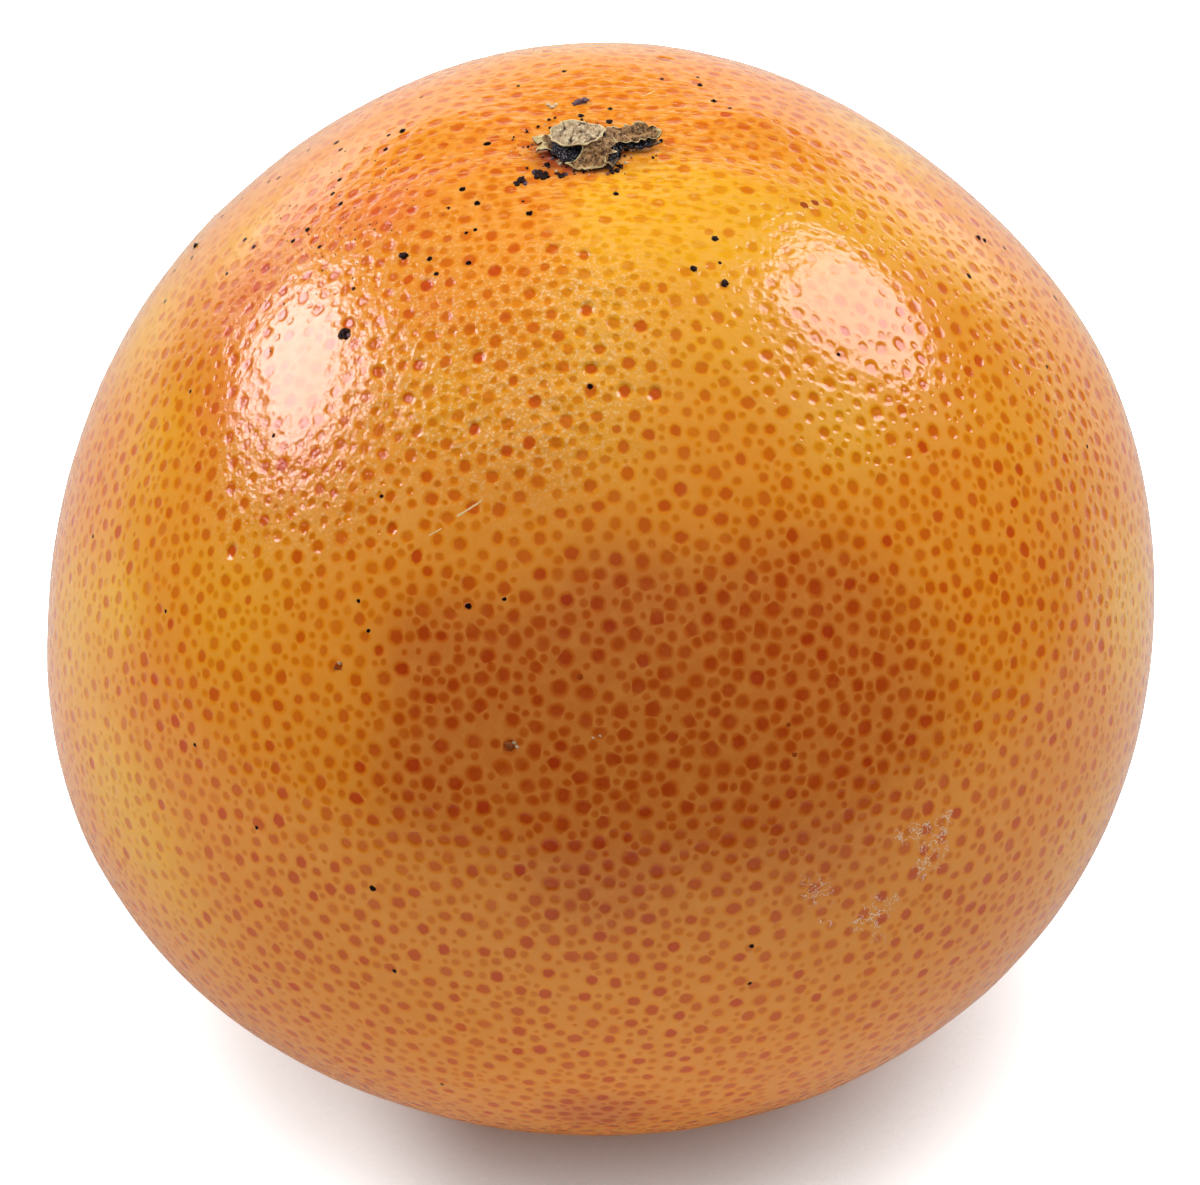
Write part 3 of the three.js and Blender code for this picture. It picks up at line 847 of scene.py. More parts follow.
    # Height in mm: glands, grains, wrinkles, folds, streaks, marks and flakes
    grain_height = add("Math", {0: pebbled, 1: 0.065, 2: 0.008}, operation="MULTIPLY_ADD")
    wave_height = 0.018
    for share, most in ((lip, 0.12), (pebbled, 0.16), (hammered, 0.10)):
        wave_height = add("Math", {0: share, 1: most, 2: wave_height}, operation="MULTIPLY_ADD")
    fold_height = add("Math", {0: pebbled, 1: 0.22, 2: 0.010}, operation="MULTIPLY_ADD")
    streak_height = add("Math", {0: lip, 1: 0.16}, operation="MULTIPLY")
    height = add("Math", {0: dimples, 1: -1.0}, operation="MULTIPLY")
    for share, most in (
        (noise["grain"], grain_height), (noise["waves"], wave_height), (noise["folds"], fold_height),
        (streaks, streak_height), (mark, 0.05), (flakes, 0.03),
    ):
        height = add("Math", {0: share, 1: most, 2: height}, operation="MULTIPLY_ADD")
    normal = add("Bump", {"Strength": 1.0, "Distance": MM, "Height": height})

    # The gloss is broken by flakes and marks
    rough = {"Value": noise["polish"], "From Min": 0.3, "From Max": 0.7, "To Min": 0.10, "To Max": 0.15}
    rough = add("MapRange", rough)
    rough = add("Math", {0: flakes, 1: 0.35, 2: rough}, operation="MULTIPLY_ADD")
    rough = add("Math", {0: mark, 1: 0.40, 2: rough}, operation="MULTIPLY_ADD")
    shine = add("Math", {0: mark, 1: -0.45, 2: 0.5}, operation="MULTIPLY_ADD")
    skin = add("BsdfPrincipled", {
        "Base Color": colour, "Roughness": rough, "Normal": normal, "IOR": WAX_IOR,
        "Specular IOR Level": shine, "Subsurface Weight": 0.10, "Subsurface Radius": (1.0, 0.35, 0.1),
        "Subsurface Scale": 1.0 * MM,
    })
    add("OutputMaterial", {"Surface": skin})
    return material


# Calyx, as in the part's source
CLEAR_GAP = 0.3
HUB = (-2.2, -1.0)
HUB_RADIUS = 2.5
HUB_THICKNESS = 0.7
SEPALS = [
    # Corners at the left and right of the root, then of the tip, looking outwards: x and y from the hub's
    # middle, height over the rind. Then how far it bellies out and sags, how late its right side bends, how
    # black it is with soot and painted shade, and how pale-tipped it is
    ((2.1, 1.2, 1.75), (2.9, -0.35, 1.15), (6.9, 1.95, 1.6), (7.5, 0.4, 0.75), 0.15, 0.4, 1, 0.2, 0),
    ((-1.4, 1.2, 0.75), (1.4, 1.2, 0.75), (-0.9, 3.3, 0.4), (0.5, 3.4, 0.4), 0.15, 0, 1, 1.3, 0.2),
    ((-1.6, 0.2, 0.7), (-1.2, 1.6, 0.7), (-3.7, 1.2, 0.15), (-3.6, 2.0, 0.2), 0.1, 0.1, 1, 0.7, 1),
    ((-1.2, -0.8, 0.7), (-1.6, 0.4, 0.7), (-3.0, -0.8, 0.2), (-3.6, 0.2, 0.3), 0.1, 0.1, 1, 0.7, 1),
    ((3.6, -0.35, 1.75), (0.8, -1.35, 1.8), (3.4, -3.2, 0.2), (-1.3, -3, 0), 0.02, -0.1, 2.6, 0.1, 0),
    # Black sheets under the right sepal and beside the front one: soot together with painted shade under the
    # sepals
    ((2.4, 0.8, 0.6), (3.3, -0.5, 0.45), (7.0, 1.1, 0.55), (7.3, 0, 0.15), 0.1, 0, 1, 1.7, 0),
    ((4.1, 0.5, 0.45), (2.8, 0.4, 0.9), (3.9, -2.3, 0.15), (2.4, -3.2, 0.2), 0.1, 0.1, 1, 1.7, 0),
]
SEPAL_ROWS = 84 # from the root to the tip
SEPAL_COLUMNS = 48
SEPAL_THICKNESS = 0.36
EDGE_THINNED = 0.65 # share of its thickness that a sepal loses towards its sides
TIP_THINNED = 0.5 # and towards its tip
TIP_WIDTH = 0.55 # share of a sepal's width that its rounded tip keeps
VEIN_HEIGHT = 0.07
VEIN_TURNS = 9 # radians of veins from a sepal's middle to its side
RIM_ROLL = 0.18 # how far its sides curl up
SEPAL_LOWERED = 0.10 # how much lower it lies than its corners say, to make room for its folds
SEPAL_CLEAR = 0.05 # least gap between it and the rind
TIP_BULGE = 0.12 # share of a sepal's length that the middle of its tip stands out
HUB_ROWS = 26 # from its middle to its edge
HUB_SIDES = 96


def grid_faces(rows, columns, start=0, closed=False):
    """Four-cornered faces of a grid of points that is stored row by row, each facing the side from which
    rows run up and columns run right. A closed grid's last column joins its first."""
    row, column = np.meshgrid(np.arange(rows - 1), np.arange(columns - (not closed)), indexing="ij")
    after = (column + 1) % columns
    corners = [row * columns + column, row * columns + after]
    corners += [(row + 1) * columns + after, (row + 1) * columns + column]
    return start + np.stack([corner.ravel() for corner in corners], 1)


def slab(top, under):
    """One closed shell from two grids of points, one over the other: the top, the underside turned round
    and a wall of faces between their borders."""
    rows, columns = top.shape[:2]
    count = rows * columns
    index = np.arange(count).reshape(rows, columns)
    border = np.concatenate([index[0, :-1], index[:-1, -1], index[-1, :0:-1], index[:0:-1, 0]])
    after = np.roll(border, -1)
    walls = np.stack([border, border + count, after + count, after], 1)
    under_faces = grid_faces(rows, columns, count)[:, ::-1]
    faces = np.concatenate([grid_faces(rows, columns), under_faces, walls])
    return np.concatenate([top.reshape(-1, 3), under.reshape(-1, 3)]), faces


def joined(shells):
    """Several shells as one list of points and one of faces."""
    starts = np.cumsum([0] + [len(points) for points, _ in shells[:-1]])
    faces = [faces + start for (_, faces), start in zip(shells, starts)]
    return np.concatenate([points for points, _ in shells]), np.concatenate(faces)


def sepal(index, left_root, right_root, left_tip, right_tip, belly, sag, flare):
    """One withered sepal: a thin plate between its four corners, which lie over the rind. Its sides belly
    out and are bitten by a ripple, its right side may bend out late, its tip bulges, it sags in the
    middle, its skin is crumpled by ripples and by veins from the root, and it thins to a paper edge."""
    along = np.linspace(0, 1, SEPAL_ROWS)[:, None, None]
    across = np.linspace(-1, 1, SEPAL_COLUMNS)[None, :, None]
    bent = np.concatenate([along**flare, along, along], -1)
    left = np.array(left_root) * (1 - along) + np.array(left_tip) * along
    right = np.array(right_root) * (1 - bent) + np.array(right_tip) * bent
    plain = (left + right) / 2 + across * (right - left) / 2
    flat = plain * [1, 1, 0] + [0, 0, 10 * index]
    bitten = ripple("sepal_bites", flat, index)[..., None] * np.abs(across) ** 3
    rounded = TIP_WIDTH + (1 - TIP_WIDTH) * np.sqrt(1 - along**8)
    wide = rounded * (1 + belly * np.sin(np.pi * along) + bitten)
    middle = (left + right) / 2
    onward = (middle[-1:] - middle[:1]) * [1, 1, 0]
    plate = middle + across * wide * (right - left) / 2
    plate = plate + TIP_BULGE * (1 - across**2) * along**4 * onward
    along, across = along[..., 0], across[..., 0]
    folds = np.abs(ripple("sepal_folds", flat, index)) + ripple("sepal_creases", flat, index)
    swell = np.sin(np.pi * along)
    veins = VEIN_HEIGHT * np.cos(VEIN_TURNS * across + ripple("sepal_veins", flat, index)) * swell
    rolled = RIM_ROLL * np.abs(across) ** 6 - sag * swell * (1 - 0.5 * across)
    lift = plate[..., 2] + (folds + veins + rolled) * np.minimum(along * 4, 1) - SEPAL_LOWERED
    x, y = HUB[0] + plate[..., 0], HUB[1] + plate[..., 1]
    thickness = SEPAL_THICKNESS * (1 - EDGE_THINNED * np.abs(across) ** 3) * (1 - TIP_THINNED * along**4)
    under = rind_height(x, y) + np.maximum(lift, SEPAL_CLEAR)
    top = under + thickness + ripple("sepal_skin", flat, index)
    return slab(np.stack([x, y, top], -1), np.stack([x, y, under], -1))


def disc_ring(around, out):
    """Points of a round cone over a grid of angles and distances, for ripples that run round a disc."""
    return np.stack([np.cos(around) + 0 * out, np.sin(around) + 0 * out, out + 0 * around], -1)


def make_calyx():
    """The withered calyx: a lumpy hub, five crumpled sepals and two black sheets under them. The hub, the
    sheets and all undersides are black, soot together with painted shade. Each corner keeps how near it lies
    to a torn edge and how black it is with soot and painted shade."""
    around = np.linspace(0, 2 * np.pi, HUB_SIDES, endpoint=False)[None, :]
    out = np.linspace(0, 1, HUB_ROWS)[:, None]
    wide = HUB_RADIUS * (0.90 + ripple("hub_outline", disc_ring(around, 0 * out)))
    x = HUB[0] + wide * out * np.cos(around)
    y = HUB[1] + wide * out * np.sin(around)
    floor = rind_height(x, y)
    lumps = ripple("hub_lumps", np.stack([x, y, 0 * x], -1))
    under = floor + 0.12 + 0.1 * np.abs(lumps) + 0 * out
    crown = HUB_THICKNESS * (1 + 0.25 * (1 - out**2)) - 0.45 * out**6
    top = floor + CLEAR_GAP + crown + 0.09 * lumps
    hub_points = np.concatenate([np.stack([x, y, top], -1), np.stack([x, y, under], -1)[::-1]])
    hub = (hub_points.reshape(-1, 3), grid_faces(2 * HUB_ROWS, HUB_SIDES, closed=True)[:, ::-1])

    shells = [hub] + [sepal(index, *row[:7]) for index, row in enumerate(SEPALS)]
    points, faces = joined(shells)
    piece = new_mesh("withered_calyx", points, faces)
    along = np.repeat(np.linspace(0, 1, SEPAL_ROWS), SEPAL_COLUMNS)
    across = np.tile(np.linspace(-1, 1, SEPAL_COLUMNS), SEPAL_ROWS)
    soot_and_shade = [np.ones(len(hub[0]))]
    edge = [np.zeros(len(hub[0]))]
    for *_, sooty_and_shaded, pale in SEPALS:
        rim = np.maximum(np.abs(across) ** 14, along**22) * (1 - 0.6 * (pale == 0) * (sooty_and_shaded > 1))
        rim = np.clip(rim + 1.4 * pale * np.clip(along * 3 - 1.7, 0, 1), 0, 1.4)
        # Black of soot together with painted shade, strongest by the root; the undersides and the hub are
        # wholly black
        top_soot_and_shade = np.clip(sooty_and_shaded + 0.3 - (3.0 - 1.2 * (sooty_and_shaded > 1)) * along, 0, 1)
        soot_and_shade.append(np.concatenate([top_soot_and_shade, np.ones(along.size)]))
        edge.append(np.concatenate([rim, 0 * rim]))
    add_attribute(piece, "soot_and_shade", "FLOAT", "POINT", np.concatenate(soot_and_shade))
    add_attribute(piece, "edge", "FLOAT", "POINT", np.concatenate(edge))
    weld(piece)
    return piece


# Stub of the stalk. Its outline goes from the middle of its underside over the rim to the middle of its
# top, as shares of its half width and of its height
STUB_HALF = (2.6, 1.90)
STUB_HEIGHT = 0.70
STUB_PROFILE = [
    (0.0, 0.0), (0.70, 0.0), (0.78, 0.30), (0.90, 0.62), (1.0, 0.86), (0.99, 1.0), (0.93, 1.0),
    (0.84, 0.88), (0.66, 0.80), (0.40, 0.68), (0.0, 0.66),
]
SIDE_STEP, RIM_STEP, TOP_STEP = 4, 5.3, 5.5 # where its side ends, its rim lies and its top starts
STUB_ROWS = 90
STUB_SIDES = 168
CRACK_WIDTH = 0.10 # in the unit of the ripple whose middle value the cracks follow
CRACK_DEPTH = 0.20


def make_stub():
    """The stub of the stalk: the oval disc of the part's source. Its outline is carried round, with the
    rim scalloped, the top crumpled by two ripples and split by cracks that run in from the rim."""
    corners = np.arange(len(STUB_PROFILE))
    steps = np.linspace(0, corners[-1], STUB_ROWS)[:, None]
    out, up = (np.interp(steps, corners, column) for column in np.transpose(STUB_PROFILE))
    around = np.linspace(0, 2 * np.pi, STUB_SIDES, endpoint=False)[None, :]
    uneven = 1 + 0.05 * np.sin(3 * around + 1) + 0.035 * np.sin(5 * around)
    ring = disc_ring(around, np.zeros((1, 1)))
    scallop = ripple("stub_nicks", ring) + ripple("stub_outline", ring)
    x = out * np.cos(around) * STUB_HALF[0] * (uneven + scallop * out**4)
    y = out * np.sin(around) * STUB_HALF[1] * (uneven + scallop * out**4)
    flat = np.stack([x, y, 0 * x], -1)
    inner = (steps > TOP_STEP) * np.clip((0.99 - out) * 8, 0, 1)
    crack = np.exp(-((ripple("stub_cracks", flat) / CRACK_WIDTH) ** 2)) * np.clip(out * 3, 0, 1)
    crumple = ripple("stub_lumps", flat) + ripple("stub_grain", flat) - CRACK_DEPTH * crack
    rim_wave = ripple("stub_rim", ring) * out**6 * (up > 0.8)
    base = rind_height(*np.array(HUB)[:, None]) + 2 * CLEAR_GAP + HUB_THICKNESS
    z = base + up * STUB_HEIGHT + inner * crumple + rim_wave
    points = np.stack([HUB[0] + x, HUB[1] + y, z], -1)
    faces = grid_faces(STUB_ROWS, STUB_SIDES, closed=True)
    piece = new_mesh("stalk_stub", points.reshape(-1, 3), faces)
    rim = np.exp(-(((steps - RIM_STEP) / 0.6) ** 2)) + 0 * around
    # Pits and cracks: partly the wood's own brown, partly painted shade where the crumpled top lies low
    pits_and_shade = inner * np.clip(crack + np.clip(-3.2 * crumple - 0.15, 0, 1), 0, 1)
    # Painted shade: the side under the rim, marked to be painted black
    shaded_side = (steps < SIDE_STEP) * np.clip(1.2 - up, 0, 1) + 0 * around
    for name, values in {"rim": rim, "pits_and_shade": pits_and_shade, "soot_and_shade": shaded_side}.items():
        add_attribute(piece, name, "FLOAT", "POINT", values)
    weld(piece)
    return piece


# Crumbs and scabs that stand up from the rind, as the photo shows them: x and y in its pixels, radius,
# tone from black to straw
CRUMBS_SEEN = [
    (539, 174, 0.5, 0), (543, 177, 0.35, 0), (535, 172, 0.3, 0.2), (546, 173, 0.25, 0),
    (521, 180, 0.42, 0), (517, 183, 0.3, 0), (525, 183, 0.22, 0.3), (561, 175, 0.32, 0.1),
    (566, 174, 0.2, 0.2), (547, 164, 0.25, 0), (612, 171, 0.3, 0), (617, 170, 0.28, 0.1),
    (608, 173, 0.2, 0.5), (621, 166, 0.25, 0), (580, 101, 0.45, 0.35), (585, 100, 0.4, 0.4),
    (575, 103, 0.3, 0.35), (610, 108, 0.18, 0), (609, 121, 0.28, 0), (581, 115, 0.18, 0),
    (582, 119, 0.16, 0), (549, 119, 0.16, 0), (555, 117, 0.14, 0), (538, 126, 0.16, 0.1),
    (550, 127, 0.14, 0), (528, 146, 0.16, 0), (584, 168, 0.22, 0.1), (578, 169, 0.16, 0.2),
    (552, 106, 0.25, 0.9), (548, 104, 0.2, 0.9), (556, 104, 0.18, 0.95), (558, 161, 0.25, 0.8),
    (553, 158, 0.22, 0.3), (560, 163, 0.2, 0.9), (616, 193, 0.18, 0), (343, 333, 0.34, 0.05),
    (347, 331, 0.28, 0.1), (345, 337, 0.26, 0.0), (340, 336, 0.22, 0.15), (348, 335, 0.2, 0.3),
    (402, 255, 0.3, 0), (725, 283, 0.28, 0), (694, 268, 0.24, 0), (715, 238, 0.22, 0), (307, 229, 0.2, 0),
    (339, 663, 0.16, 0.85), (335, 668, 0.14, 0.7), (509, 745, 0.3, 0.6), (514, 743, 0.16, 0.85),
    (517, 747, 0.14, 0.9), (593, 738, 0.1, 0.9), (600, 736, 0.1, 0.9), (195, 245, 0.24, 0),
    (979, 237, 0.22, 0), (985, 240, 0.18, 0), (402, 130, 0.2, 0), (700, 84, 0.2, 0), (714, 100, 0.18, 0),
    (619, 153, 0.24, 0), (614, 163, 0.26, 0.1), (609, 167, 0.2, 0.3), (626, 149, 0.22, 0),
    (652, 144, 0.2, 0.1), (661, 140, 0.24, 0), (554, 156, 0.26, 0), (563, 160, 0.24, 0.1),
    (572, 166, 0.2, 0.3),
]
CRUMB_DUST = 90 # fine crumbs scattered close round the calyx
CRUMB_FAR = 40
CRUMB_ROWS = 11
CRUMB_SIDES = 16
CRUMB_STRETCH = np.array([1.15, 0.9, 0.6]) # across, along and up
CRUMB_SUNK = 0.06
CRUMB_APART = 7.0 # step in the ripples from one crumb to the next, so that no two are alike
LUMP_RANGE = (0.5, 1.6) # least and most that the ripples leave of a crumb's radius
DUST_OUT = (3.2, 2.6) # nearest to the hub's middle, and how much further
DUST_RADII = (0.06, 0.15)
FAR_CRUMB_RADII = (0.12, 0.35)


def make_crumbs():
    """Crumbs and scabs: each is a low dome on the rind, a squashed ball sunk a little into it, its radius
    changed by a ripple so that no two are alike."""
    seen = seen_at([(x, y) for x, y, *_ in CRUMBS_SEEN])
    turn = rng.uniform(0, 2 * np.pi, CRUMB_DUST)
    away = DUST_OUT[0] + DUST_OUT[1] * rng.uniform(size=CRUMB_DUST) ** 1.5
    dust_x = HUB[0] + 0.7 + 1.25 * away * np.cos(turn)
    dust_y = HUB[1] + 0.3 + 0.85 * away * np.sin(turn)
    dust = normalised(np.stack([dust_x, dust_y, np.full(CRUMB_DUST, MEAN_RADIUS - 2)], -1))
    far = normalised(rng.normal(size=(CRUMB_FAR * 3, 3)) + [0, 0.8, 0.3])
    far = far[(far @ camera_back < FAR_SIDE) & (far[:, 2] > -0.8)][:CRUMB_FAR]
    toward = np.concatenate([seen, dust, far])
    radii = np.concatenate([
        [radius for *_, radius, _ in CRUMBS_SEEN],
        rng.uniform(*DUST_RADII, CRUMB_DUST),
        rng.uniform(*FAR_CRUMB_RADII, len(far)),
    ])
    tones = np.concatenate([
        [tone for *_, tone in CRUMBS_SEEN],
        rng.choice([0.0, 0.1, 0.5, 0.9], CRUMB_DUST),
        rng.choice([0.0, 0.1, 0.6], len(far)),
    ])
    polar = np.linspace(0, np.pi, CRUMB_ROWS)[:, None]
    around = np.linspace(0, 2 * np.pi, CRUMB_SIDES, endpoint=False)[None, :]
    ball = [np.sin(polar) * np.cos(around), np.sin(polar) * np.sin(around), np.cos(polar) + 0 * around]
    ball = np.stack(ball, -1).reshape(-1, 3)
    apart = CRUMB_APART * np.arange(len(toward))[:, None, None]
    lumpy = 1 + ripple("crumb_lumps", ball + apart) + ripple("crumb_grain", ball + apart)
    offset = ball * np.clip(lumpy, *LUMP_RANGE)[..., None] * radii[:, None, None]
    offset = offset * CRUMB_STRETCH - [0, 0, CRUMB_SUNK]
    sides = np.stack([*tangents(toward), fruit_normals(toward)], 1)
    points = fruit_points(toward)[:, None] + offset @ sides
    faces = grid_faces(CRUMB_ROWS, CRUMB_SIDES, closed=True)[:, ::-1]
    faces = (faces + len(ball) * np.arange(len(toward))[:, None, None]).reshape(-1, 4)
    piece = new_mesh("calyx_crumbs", points.reshape(-1, 3), faces)
    add_attribute(piece, "tone", "FLOAT", "POINT", np.repeat(tones, len(ball)))
    weld(piece)
    return piece


LEAF_NOISES = {"fleck": (0.15, 2.0, 0.6), "patch": (0.75, 3.0, 0.6), "fibre": (0.34, 3.0, 0.65)}


def calyx_material():
    """Withered calyx: papery dead leaf tissue, tan with dark flecks, pale where its edges are torn and black
    with soot mould together with painted shade on the hub, the undersides and the sheets under the sepals, in
    which a few white grains lie. It is dull and rough."""
    material, add, _, noise = new_material("withered_leaf_tissue", LEAF_NOISES)
    soot_and_shade = add("Attribute", output="Fac", attribute_name="soot_and_shade")
    edge = add("Attribute", output="Fac", attribute_name="edge")
    torn = add("Math", {0: noise["fleck"], 1: 0.4, 2: edge}, operation="MULTIPLY_ADD")
    sooty_and_shaded = add("Math", {0: noise["patch"], 1: 0.4, 2: soot_and_shade}, operation="MULTIPLY_ADD")
    colour = layered(add, linear("#7E5834"), [
        (noise["patch"], 0.36, 0.62, 1.0, "#BE925C"),
        (noise["fibre"], 0.53, 0.63, 1.0, "#4A3524"),
        (noise["fibre"], 0.44, 0.34, 1.0, "#CDB284"),
        (noise["fleck"], 0.56, 0.64, 1.0, "#241913"),
        (torn, 0.38, 0.80, 1.0, "#E6D49C"),
        # Soot mould together with painted shade: black on the hub, the undersides and the sheets under the
        # sepals
        (sooty_and_shaded, 0.45, 0.72, 1.0, "#131318"),
    ])
    grains = add("MapRange", {"Value": noise["fleck"], "From Min": 0.57, "From Max": 0.64, "To Max": 0.8})
    grains = add("Math", {0: grains, 1: soot_and_shade}, operation="MULTIPLY")
    colour = add("Mix", {0: grains, 6: colour, 7: linear("#A9A6AE")}, 2, data_type="RGBA")
    heights = [(noise["fleck"], 0.06), (noise["patch"], 0.10), (noise["fibre"], 0.10)]
    finish_dry(add, colour, heights, rough=0.75, ior=1.45)
    return material


WOOD_NOISES = {"fleck": (0.17, 3.0, 0.65), "patch": (0.85, 3.0, 0.6), "fibre": (0.32, 3.0, 0.65)}


def stub_material():
    """Broken stalk wood: pale greenish tan pith with brown pits and cracks, darker where the top lies low as
    painted shade, a straw-coloured rim and a side below it painted black as shade. It is dry and dull."""
    material, add, _, noise = new_material("broken_stalk_wood", WOOD_NOISES)
    names = ("rim", "pits_and_shade", "soot_and_shade")
    where = {name: add("Attribute", output="Fac", attribute_name=name) for name in names}
    colour = layered(add, linear("#A98C68"), [
        (noise["patch"], 0.36, 0.60, 1.00, "#D8C49C"),
        (noise["fibre"], 0.55, 0.66, 0.70, "#7A604A"),
        (noise["fibre"], 0.46, 0.34, 0.85, "#F0E4C6"),
        (noise["fleck"], 0.62, 0.69, 0.85, "#3A2A20"),
        # Pits and cracks, darker where the top lies low as painted shade
        (where["pits_and_shade"], 0.10, 0.80, 0.92, "#4A3524"),
        (where["rim"], 0.50, 0.95, 0.90, "#E8DAA0"),
        # Painted shade: black on the side under the rim
        (where["soot_and_shade"], 0.15, 0.55, 1.00, "#151417"),
    ])
    heights = [(noise["fleck"], 0.06), (noise["patch"], 0.05), (noise["fibre"], 0.12)]
    finish_dry(add, colour, heights, rough=0.8, ior=1.5)
    return material


CORK_NOISES = {"fleck": (0.12, 2.0, 0.6)}


def crumb_material():
    """Scab and crumbs: hard dead cork, from black through purple-brown and brown to straw by its tone,
    with lighter grains in it. It is dry and nearly dull."""
    material, add, _, noise = new_material("dead_cork_crumbs", CORK_NOISES)
    tone = add("Attribute", output="Fac", attribute_name="tone")
    colour = layered(add, linear("#1C0A08"), [
        (tone, 0.10, 0.30, 1.00, "#6E5660"),
        (tone, 0.40, 0.55, 1.00, "#8E4A14"),
        (tone, 0.75, 0.95, 1.00, "#E8D8B0"),
        (noise["fleck"], 0.60, 0.70, 0.40, "#C08A70"),
    ])
    finish_dry(add, colour, [(noise["fleck"], 0.05)], rough=0.75, ior=1.35)
    return material


# The table top and the lights, in metres. The table starts to darken at the first distance from the
# fruit's middle and is dark at the second. The skin mirrors a share of its brightness
TABLE_HALF = 3.0
TABLE_FADE = (0.10, 0.36)
TABLE_SHINE = 0.74
TABLE_COLOURS = ("#E6E6E6", "#303030") # near and far
# The table's glow is painted light: an emission, dimmed near the fruit into a painted shadow, with more
# painted white at the left and a painted glow behind the fruit for the gloss
SKY_REACH = 0.045 # how far from the fruit the table's glow is dimmed by it
SHADOW_POWER = 2.2 # how fast it dims towards the fruit
TABLE_GLOW = 3.4 # strength of the white that the camera sees
LEFT_GLOW = (-0.010, -0.026, 0.24) # from and to where more white grows at the left, and how much
BACK_GLOW = (0.15, 0.50, 0.35) # the same for what the gloss mirrors of the table behind the fruit
GLOSS_NEARER = 0.97 # the light that the gloss mirrors hangs this much nearer than the one on the skin
LIGHTS = [ # name, azimuth, elevation, distance, width, height, turn, radiance on skin and in gloss
    ("left_softbox", 162.6, 28.3, 1.0, 0.64, 0.30, 14, 10.4, 11.2),
    ("right_softbox", 26.3, 40.5, 1.0, 0.43, 0.58, 2, 7.7, 7.6),
    ("ceiling_bounce", 90, 78, 1.3, 1.80, 1.80, 0, 1.36, 0.0),
    ("front_bounce", -90, 50, 1.3, 1.40, 1.40, 0, 1.34, 0.0),
    ("table_bounce", 0, -90, 0.048, 0.79, 0.79, 0, 0.21, 0.0),
]
SKIN_LIGHT = (1.0, 0.965, 0.95) # colour of the light on the skin
GLOSS_LIGHT = (1.0, 0.91, 1.05) # and of its mirror image, a little cooler
DIM_ROOM = 0.03 # brightness of the room outside the white sheet


def hang_light(name, azimuth, elevation, distance, width, height, turn, radiance, tint, nearer=1.0):
    """An oval light that faces the fruit and lights only its skin or only its gloss, as its name says.
    Its power is its radiance times pi times the area of its oval."""
    data = bpy.data.lights.new(name, "AREA")
    data.shape = "ELLIPSE"
    data.size, data.size_y = width, height
    data.energy = radiance * width * height * np.pi**2 / 4
    data.color = tint
    light = bpy.data.objects.new(name, data)
    away = Vector(unit(float(azimuth), 90.0 - elevation))
    light.location = Vector(MIDDLE * MM) + away * distance * nearer
    about_itself = Quaternion((0, 0, 1), np.radians(turn))
    light.rotation_euler = (away.to_track_quat("Z", "Y") @ about_itself).to_euler()
    light.visible_camera = False
    light.visible_diffuse = name.endswith("diffuse")
    light.visible_glossy = name.endswith("glossy")
    bpy.context.scene.collection.objects.link(light)


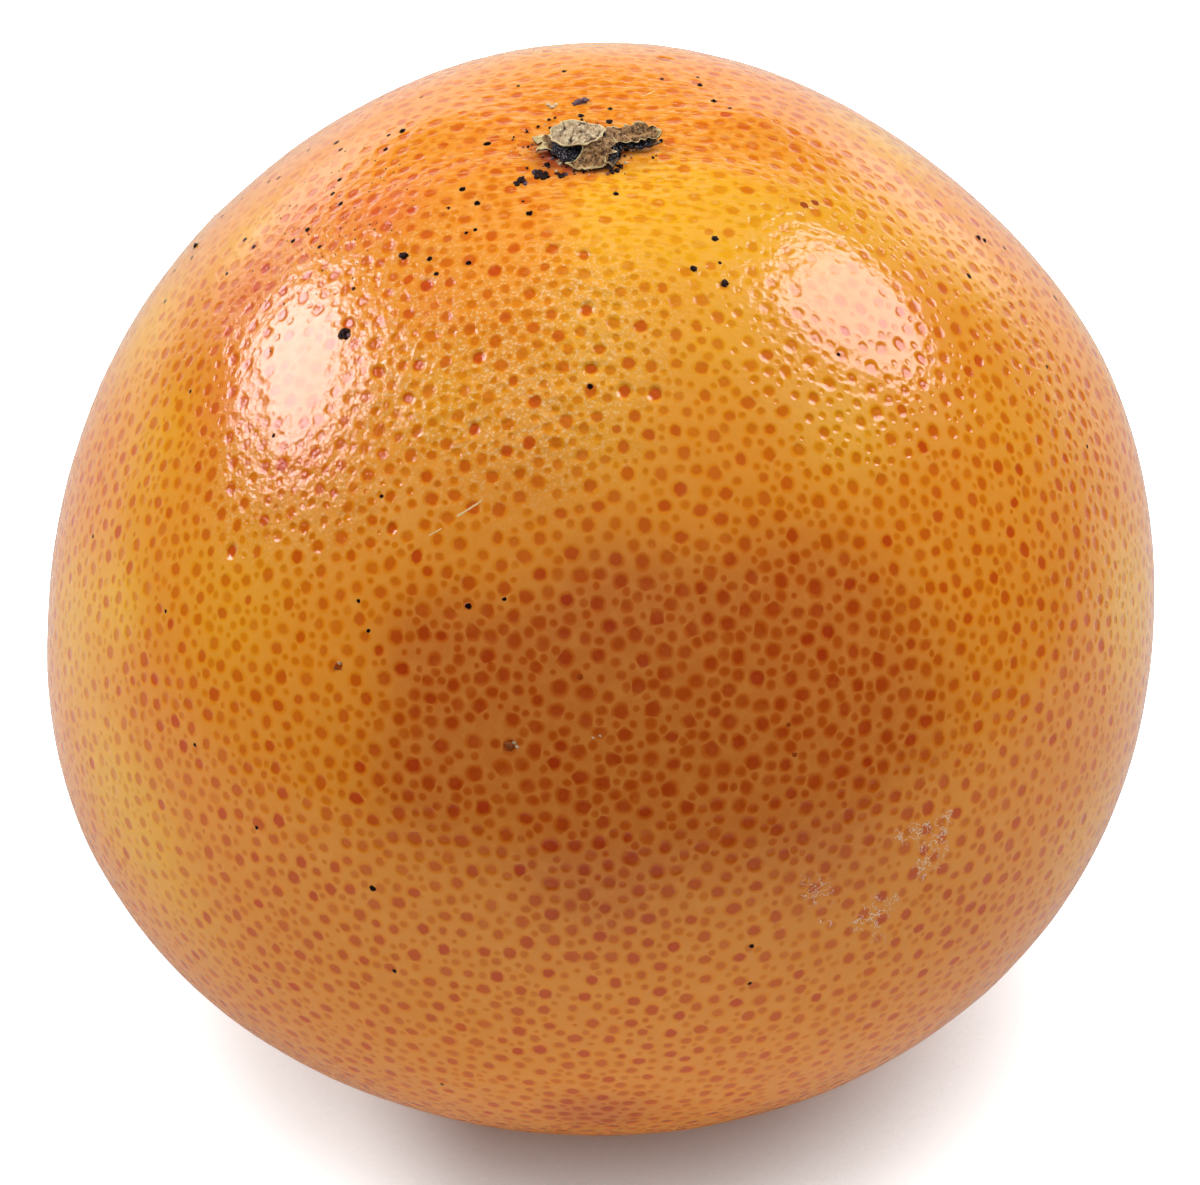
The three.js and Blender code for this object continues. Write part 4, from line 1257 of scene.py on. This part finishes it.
def make_stage():
    """A white table top under softboxes behind the fruit at the left and at the right, with broad bounces
    above, in front and below, and a white sheet behind. The table's colour darkens away from the fruit, a
    painted falloff as under a studio's narrow light, so the skin keeps its deep colour. The camera sees it
    white by a painted glow, with a painted shadow of the fruit."""
    material, add, place, _ = new_material("white_table_top", {})
    across, back, _ = add("SeparateXYZ", {0: place}, None)
    aside = add("Math", {0: across}, operation="ABSOLUTE")
    behind = add("Math", {0: back, 1: 0.0}, operation="MAXIMUM")
    aside = add("Math", {0: behind, 1: -0.60, 2: aside}, operation="MULTIPLY_ADD")
    aside = add("Math", {0: aside, 1: 0.0}, operation="MAXIMUM")
    front = add("Math", {0: back, 1: 0.0}, operation="MINIMUM")
    away = add("VectorMath", {0: add("CombineXYZ", {0: aside, 1: front})}, "Value", operation="LENGTH")
    fade = {"Value": away, "From Min": TABLE_FADE[0], "From Max": TABLE_FADE[1]}
    fade = add("MapRange", fade, **SMOOTH)
    near, far = (linear(code) for code in TABLE_COLOURS)
    colour = add("Mix", {0: fade, 6: near, 7: far}, 2, data_type="RGBA")
    mirrored = add("LightPath", output="Is Glossy Ray")
    share = add("MapRange", {"Value": mirrored, "To Min": 1.0, "To Max": TABLE_SHINE})
    seen = add("LightPath", output="Is Camera Ray")
    share = add("Math", {0: seen, 1: -0.5, 2: share}, operation="MULTIPLY_ADD")
    colour = add("VectorMath", {0: colour, "Scale": share}, operation="SCALE")

    # Painted glow and painted shadow: the camera sees the table glow white, dimmed by ambient occlusion where
    # the fruit hides the sky. The gloss mirrors a painted glow behind the fruit
    painted_shadow_ao = add("AmbientOcclusion", {"Distance": SKY_REACH}, "AO", samples=12)
    glow = add("Math", {0: painted_shadow_ao, 1: SHADOW_POWER}, operation="POWER")
    left = {"Value": across, "From Min": LEFT_GLOW[0], "From Max": LEFT_GLOW[1], "To Max": LEFT_GLOW[2]}
    left = add("MapRange", left, **SMOOTH)
    glow = add("Math", {0: glow, 1: TABLE_GLOW, 2: left}, operation="MULTIPLY_ADD")
    glow = add("Math", {0: glow, 1: seen}, operation="MULTIPLY")
    back = {"Value": behind, "From Min": BACK_GLOW[0], "From Max": BACK_GLOW[1], "To Max": BACK_GLOW[2]}
    back = add("MapRange", back, **SMOOTH)
    glow = add("Math", {0: back, 1: mirrored, 2: glow}, operation="MULTIPLY_ADD")
    white = add("BsdfPrincipled", {
        "Base Color": colour, "Roughness": 0.7, "Emission Color": CLEAR, "Emission Strength": glow,
    })
    add("OutputMaterial", {"Surface": white})
    corners = np.array([[-1, -1, 0], [1, -1, 0], [1, 1, 0], [-1, 1, 0]])
    table = new_mesh("table_top", corners * TABLE_HALF / MM, [[0, 1, 2, 3]])
    table.data.materials.append(material)

    for name, *spot, on_skin, in_gloss in LIGHTS:
        hang_light(name + "_diffuse", *spot, on_skin, SKIN_LIGHT)
        if in_gloss:
            hang_light(name + "_glossy", *spot, in_gloss, GLOSS_LIGHT, GLOSS_NEARER)

    world = bpy.data.worlds.new("studio")
    bpy.context.scene.world = world
    world.use_nodes = True
    world.node_tree.nodes.clear()

    # The world holds the sheet: a band behind the fruit that is brighter to the left and right. The camera
    # sees white all over
    add = functools.partial(add_node, world.node_tree)
    across, back, up = add("SeparateXYZ", {0: add("TexCoord", output="Generated")}, None)
    aside = add("Math", {0: across}, operation="ABSOLUTE")
    strength = {"Value": aside, "From Min": 0.20, "From Max": 0.50, "To Min": 1.2, "To Max": 2.7}
    strength = add("MapRange", strength, **SMOOTH)
    sheet = add("MapRange", {"Value": back, "From Min": 0.62, "From Max": 0.86, "To Max": strength}, **SMOOTH)
    above = {"Value": up, "From Min": 0.18, "From Max": 0.40, "To Min": 1.0, "To Max": 0.0}
    above = add("MapRange", above, **SMOOTH)
    sheet = add("Math", {0: sheet, 1: above, 2: DIM_ROOM}, operation="MULTIPLY_ADD")
    seen = add("LightPath", output="Is Camera Ray")
    glow = add("Math", {0: sheet, 1: seen}, operation="MAXIMUM")
    add("OutputWorld", {0: add("Background", {"Strength": glow})})
    bpy.context.scene.view_settings.view_transform = "Standard"


def finish_piece(piece, material, node):
    """Gives a piece its material, hangs it under the root and hides the part of the node that it stands for.
    """
    piece.data.materials.append(material)
    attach(piece, "root")
    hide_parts(node)


make_camera()
make_stage()
finish_piece(make_rind(), rind_material(), "fruit")
finish_piece(make_calyx(), calyx_material(), "calyx")
finish_piece(make_stub(), stub_material(), "stem_stub")
crumbs = make_crumbs()
crumbs.data.materials.append(crumb_material())
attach(crumbs, "root")
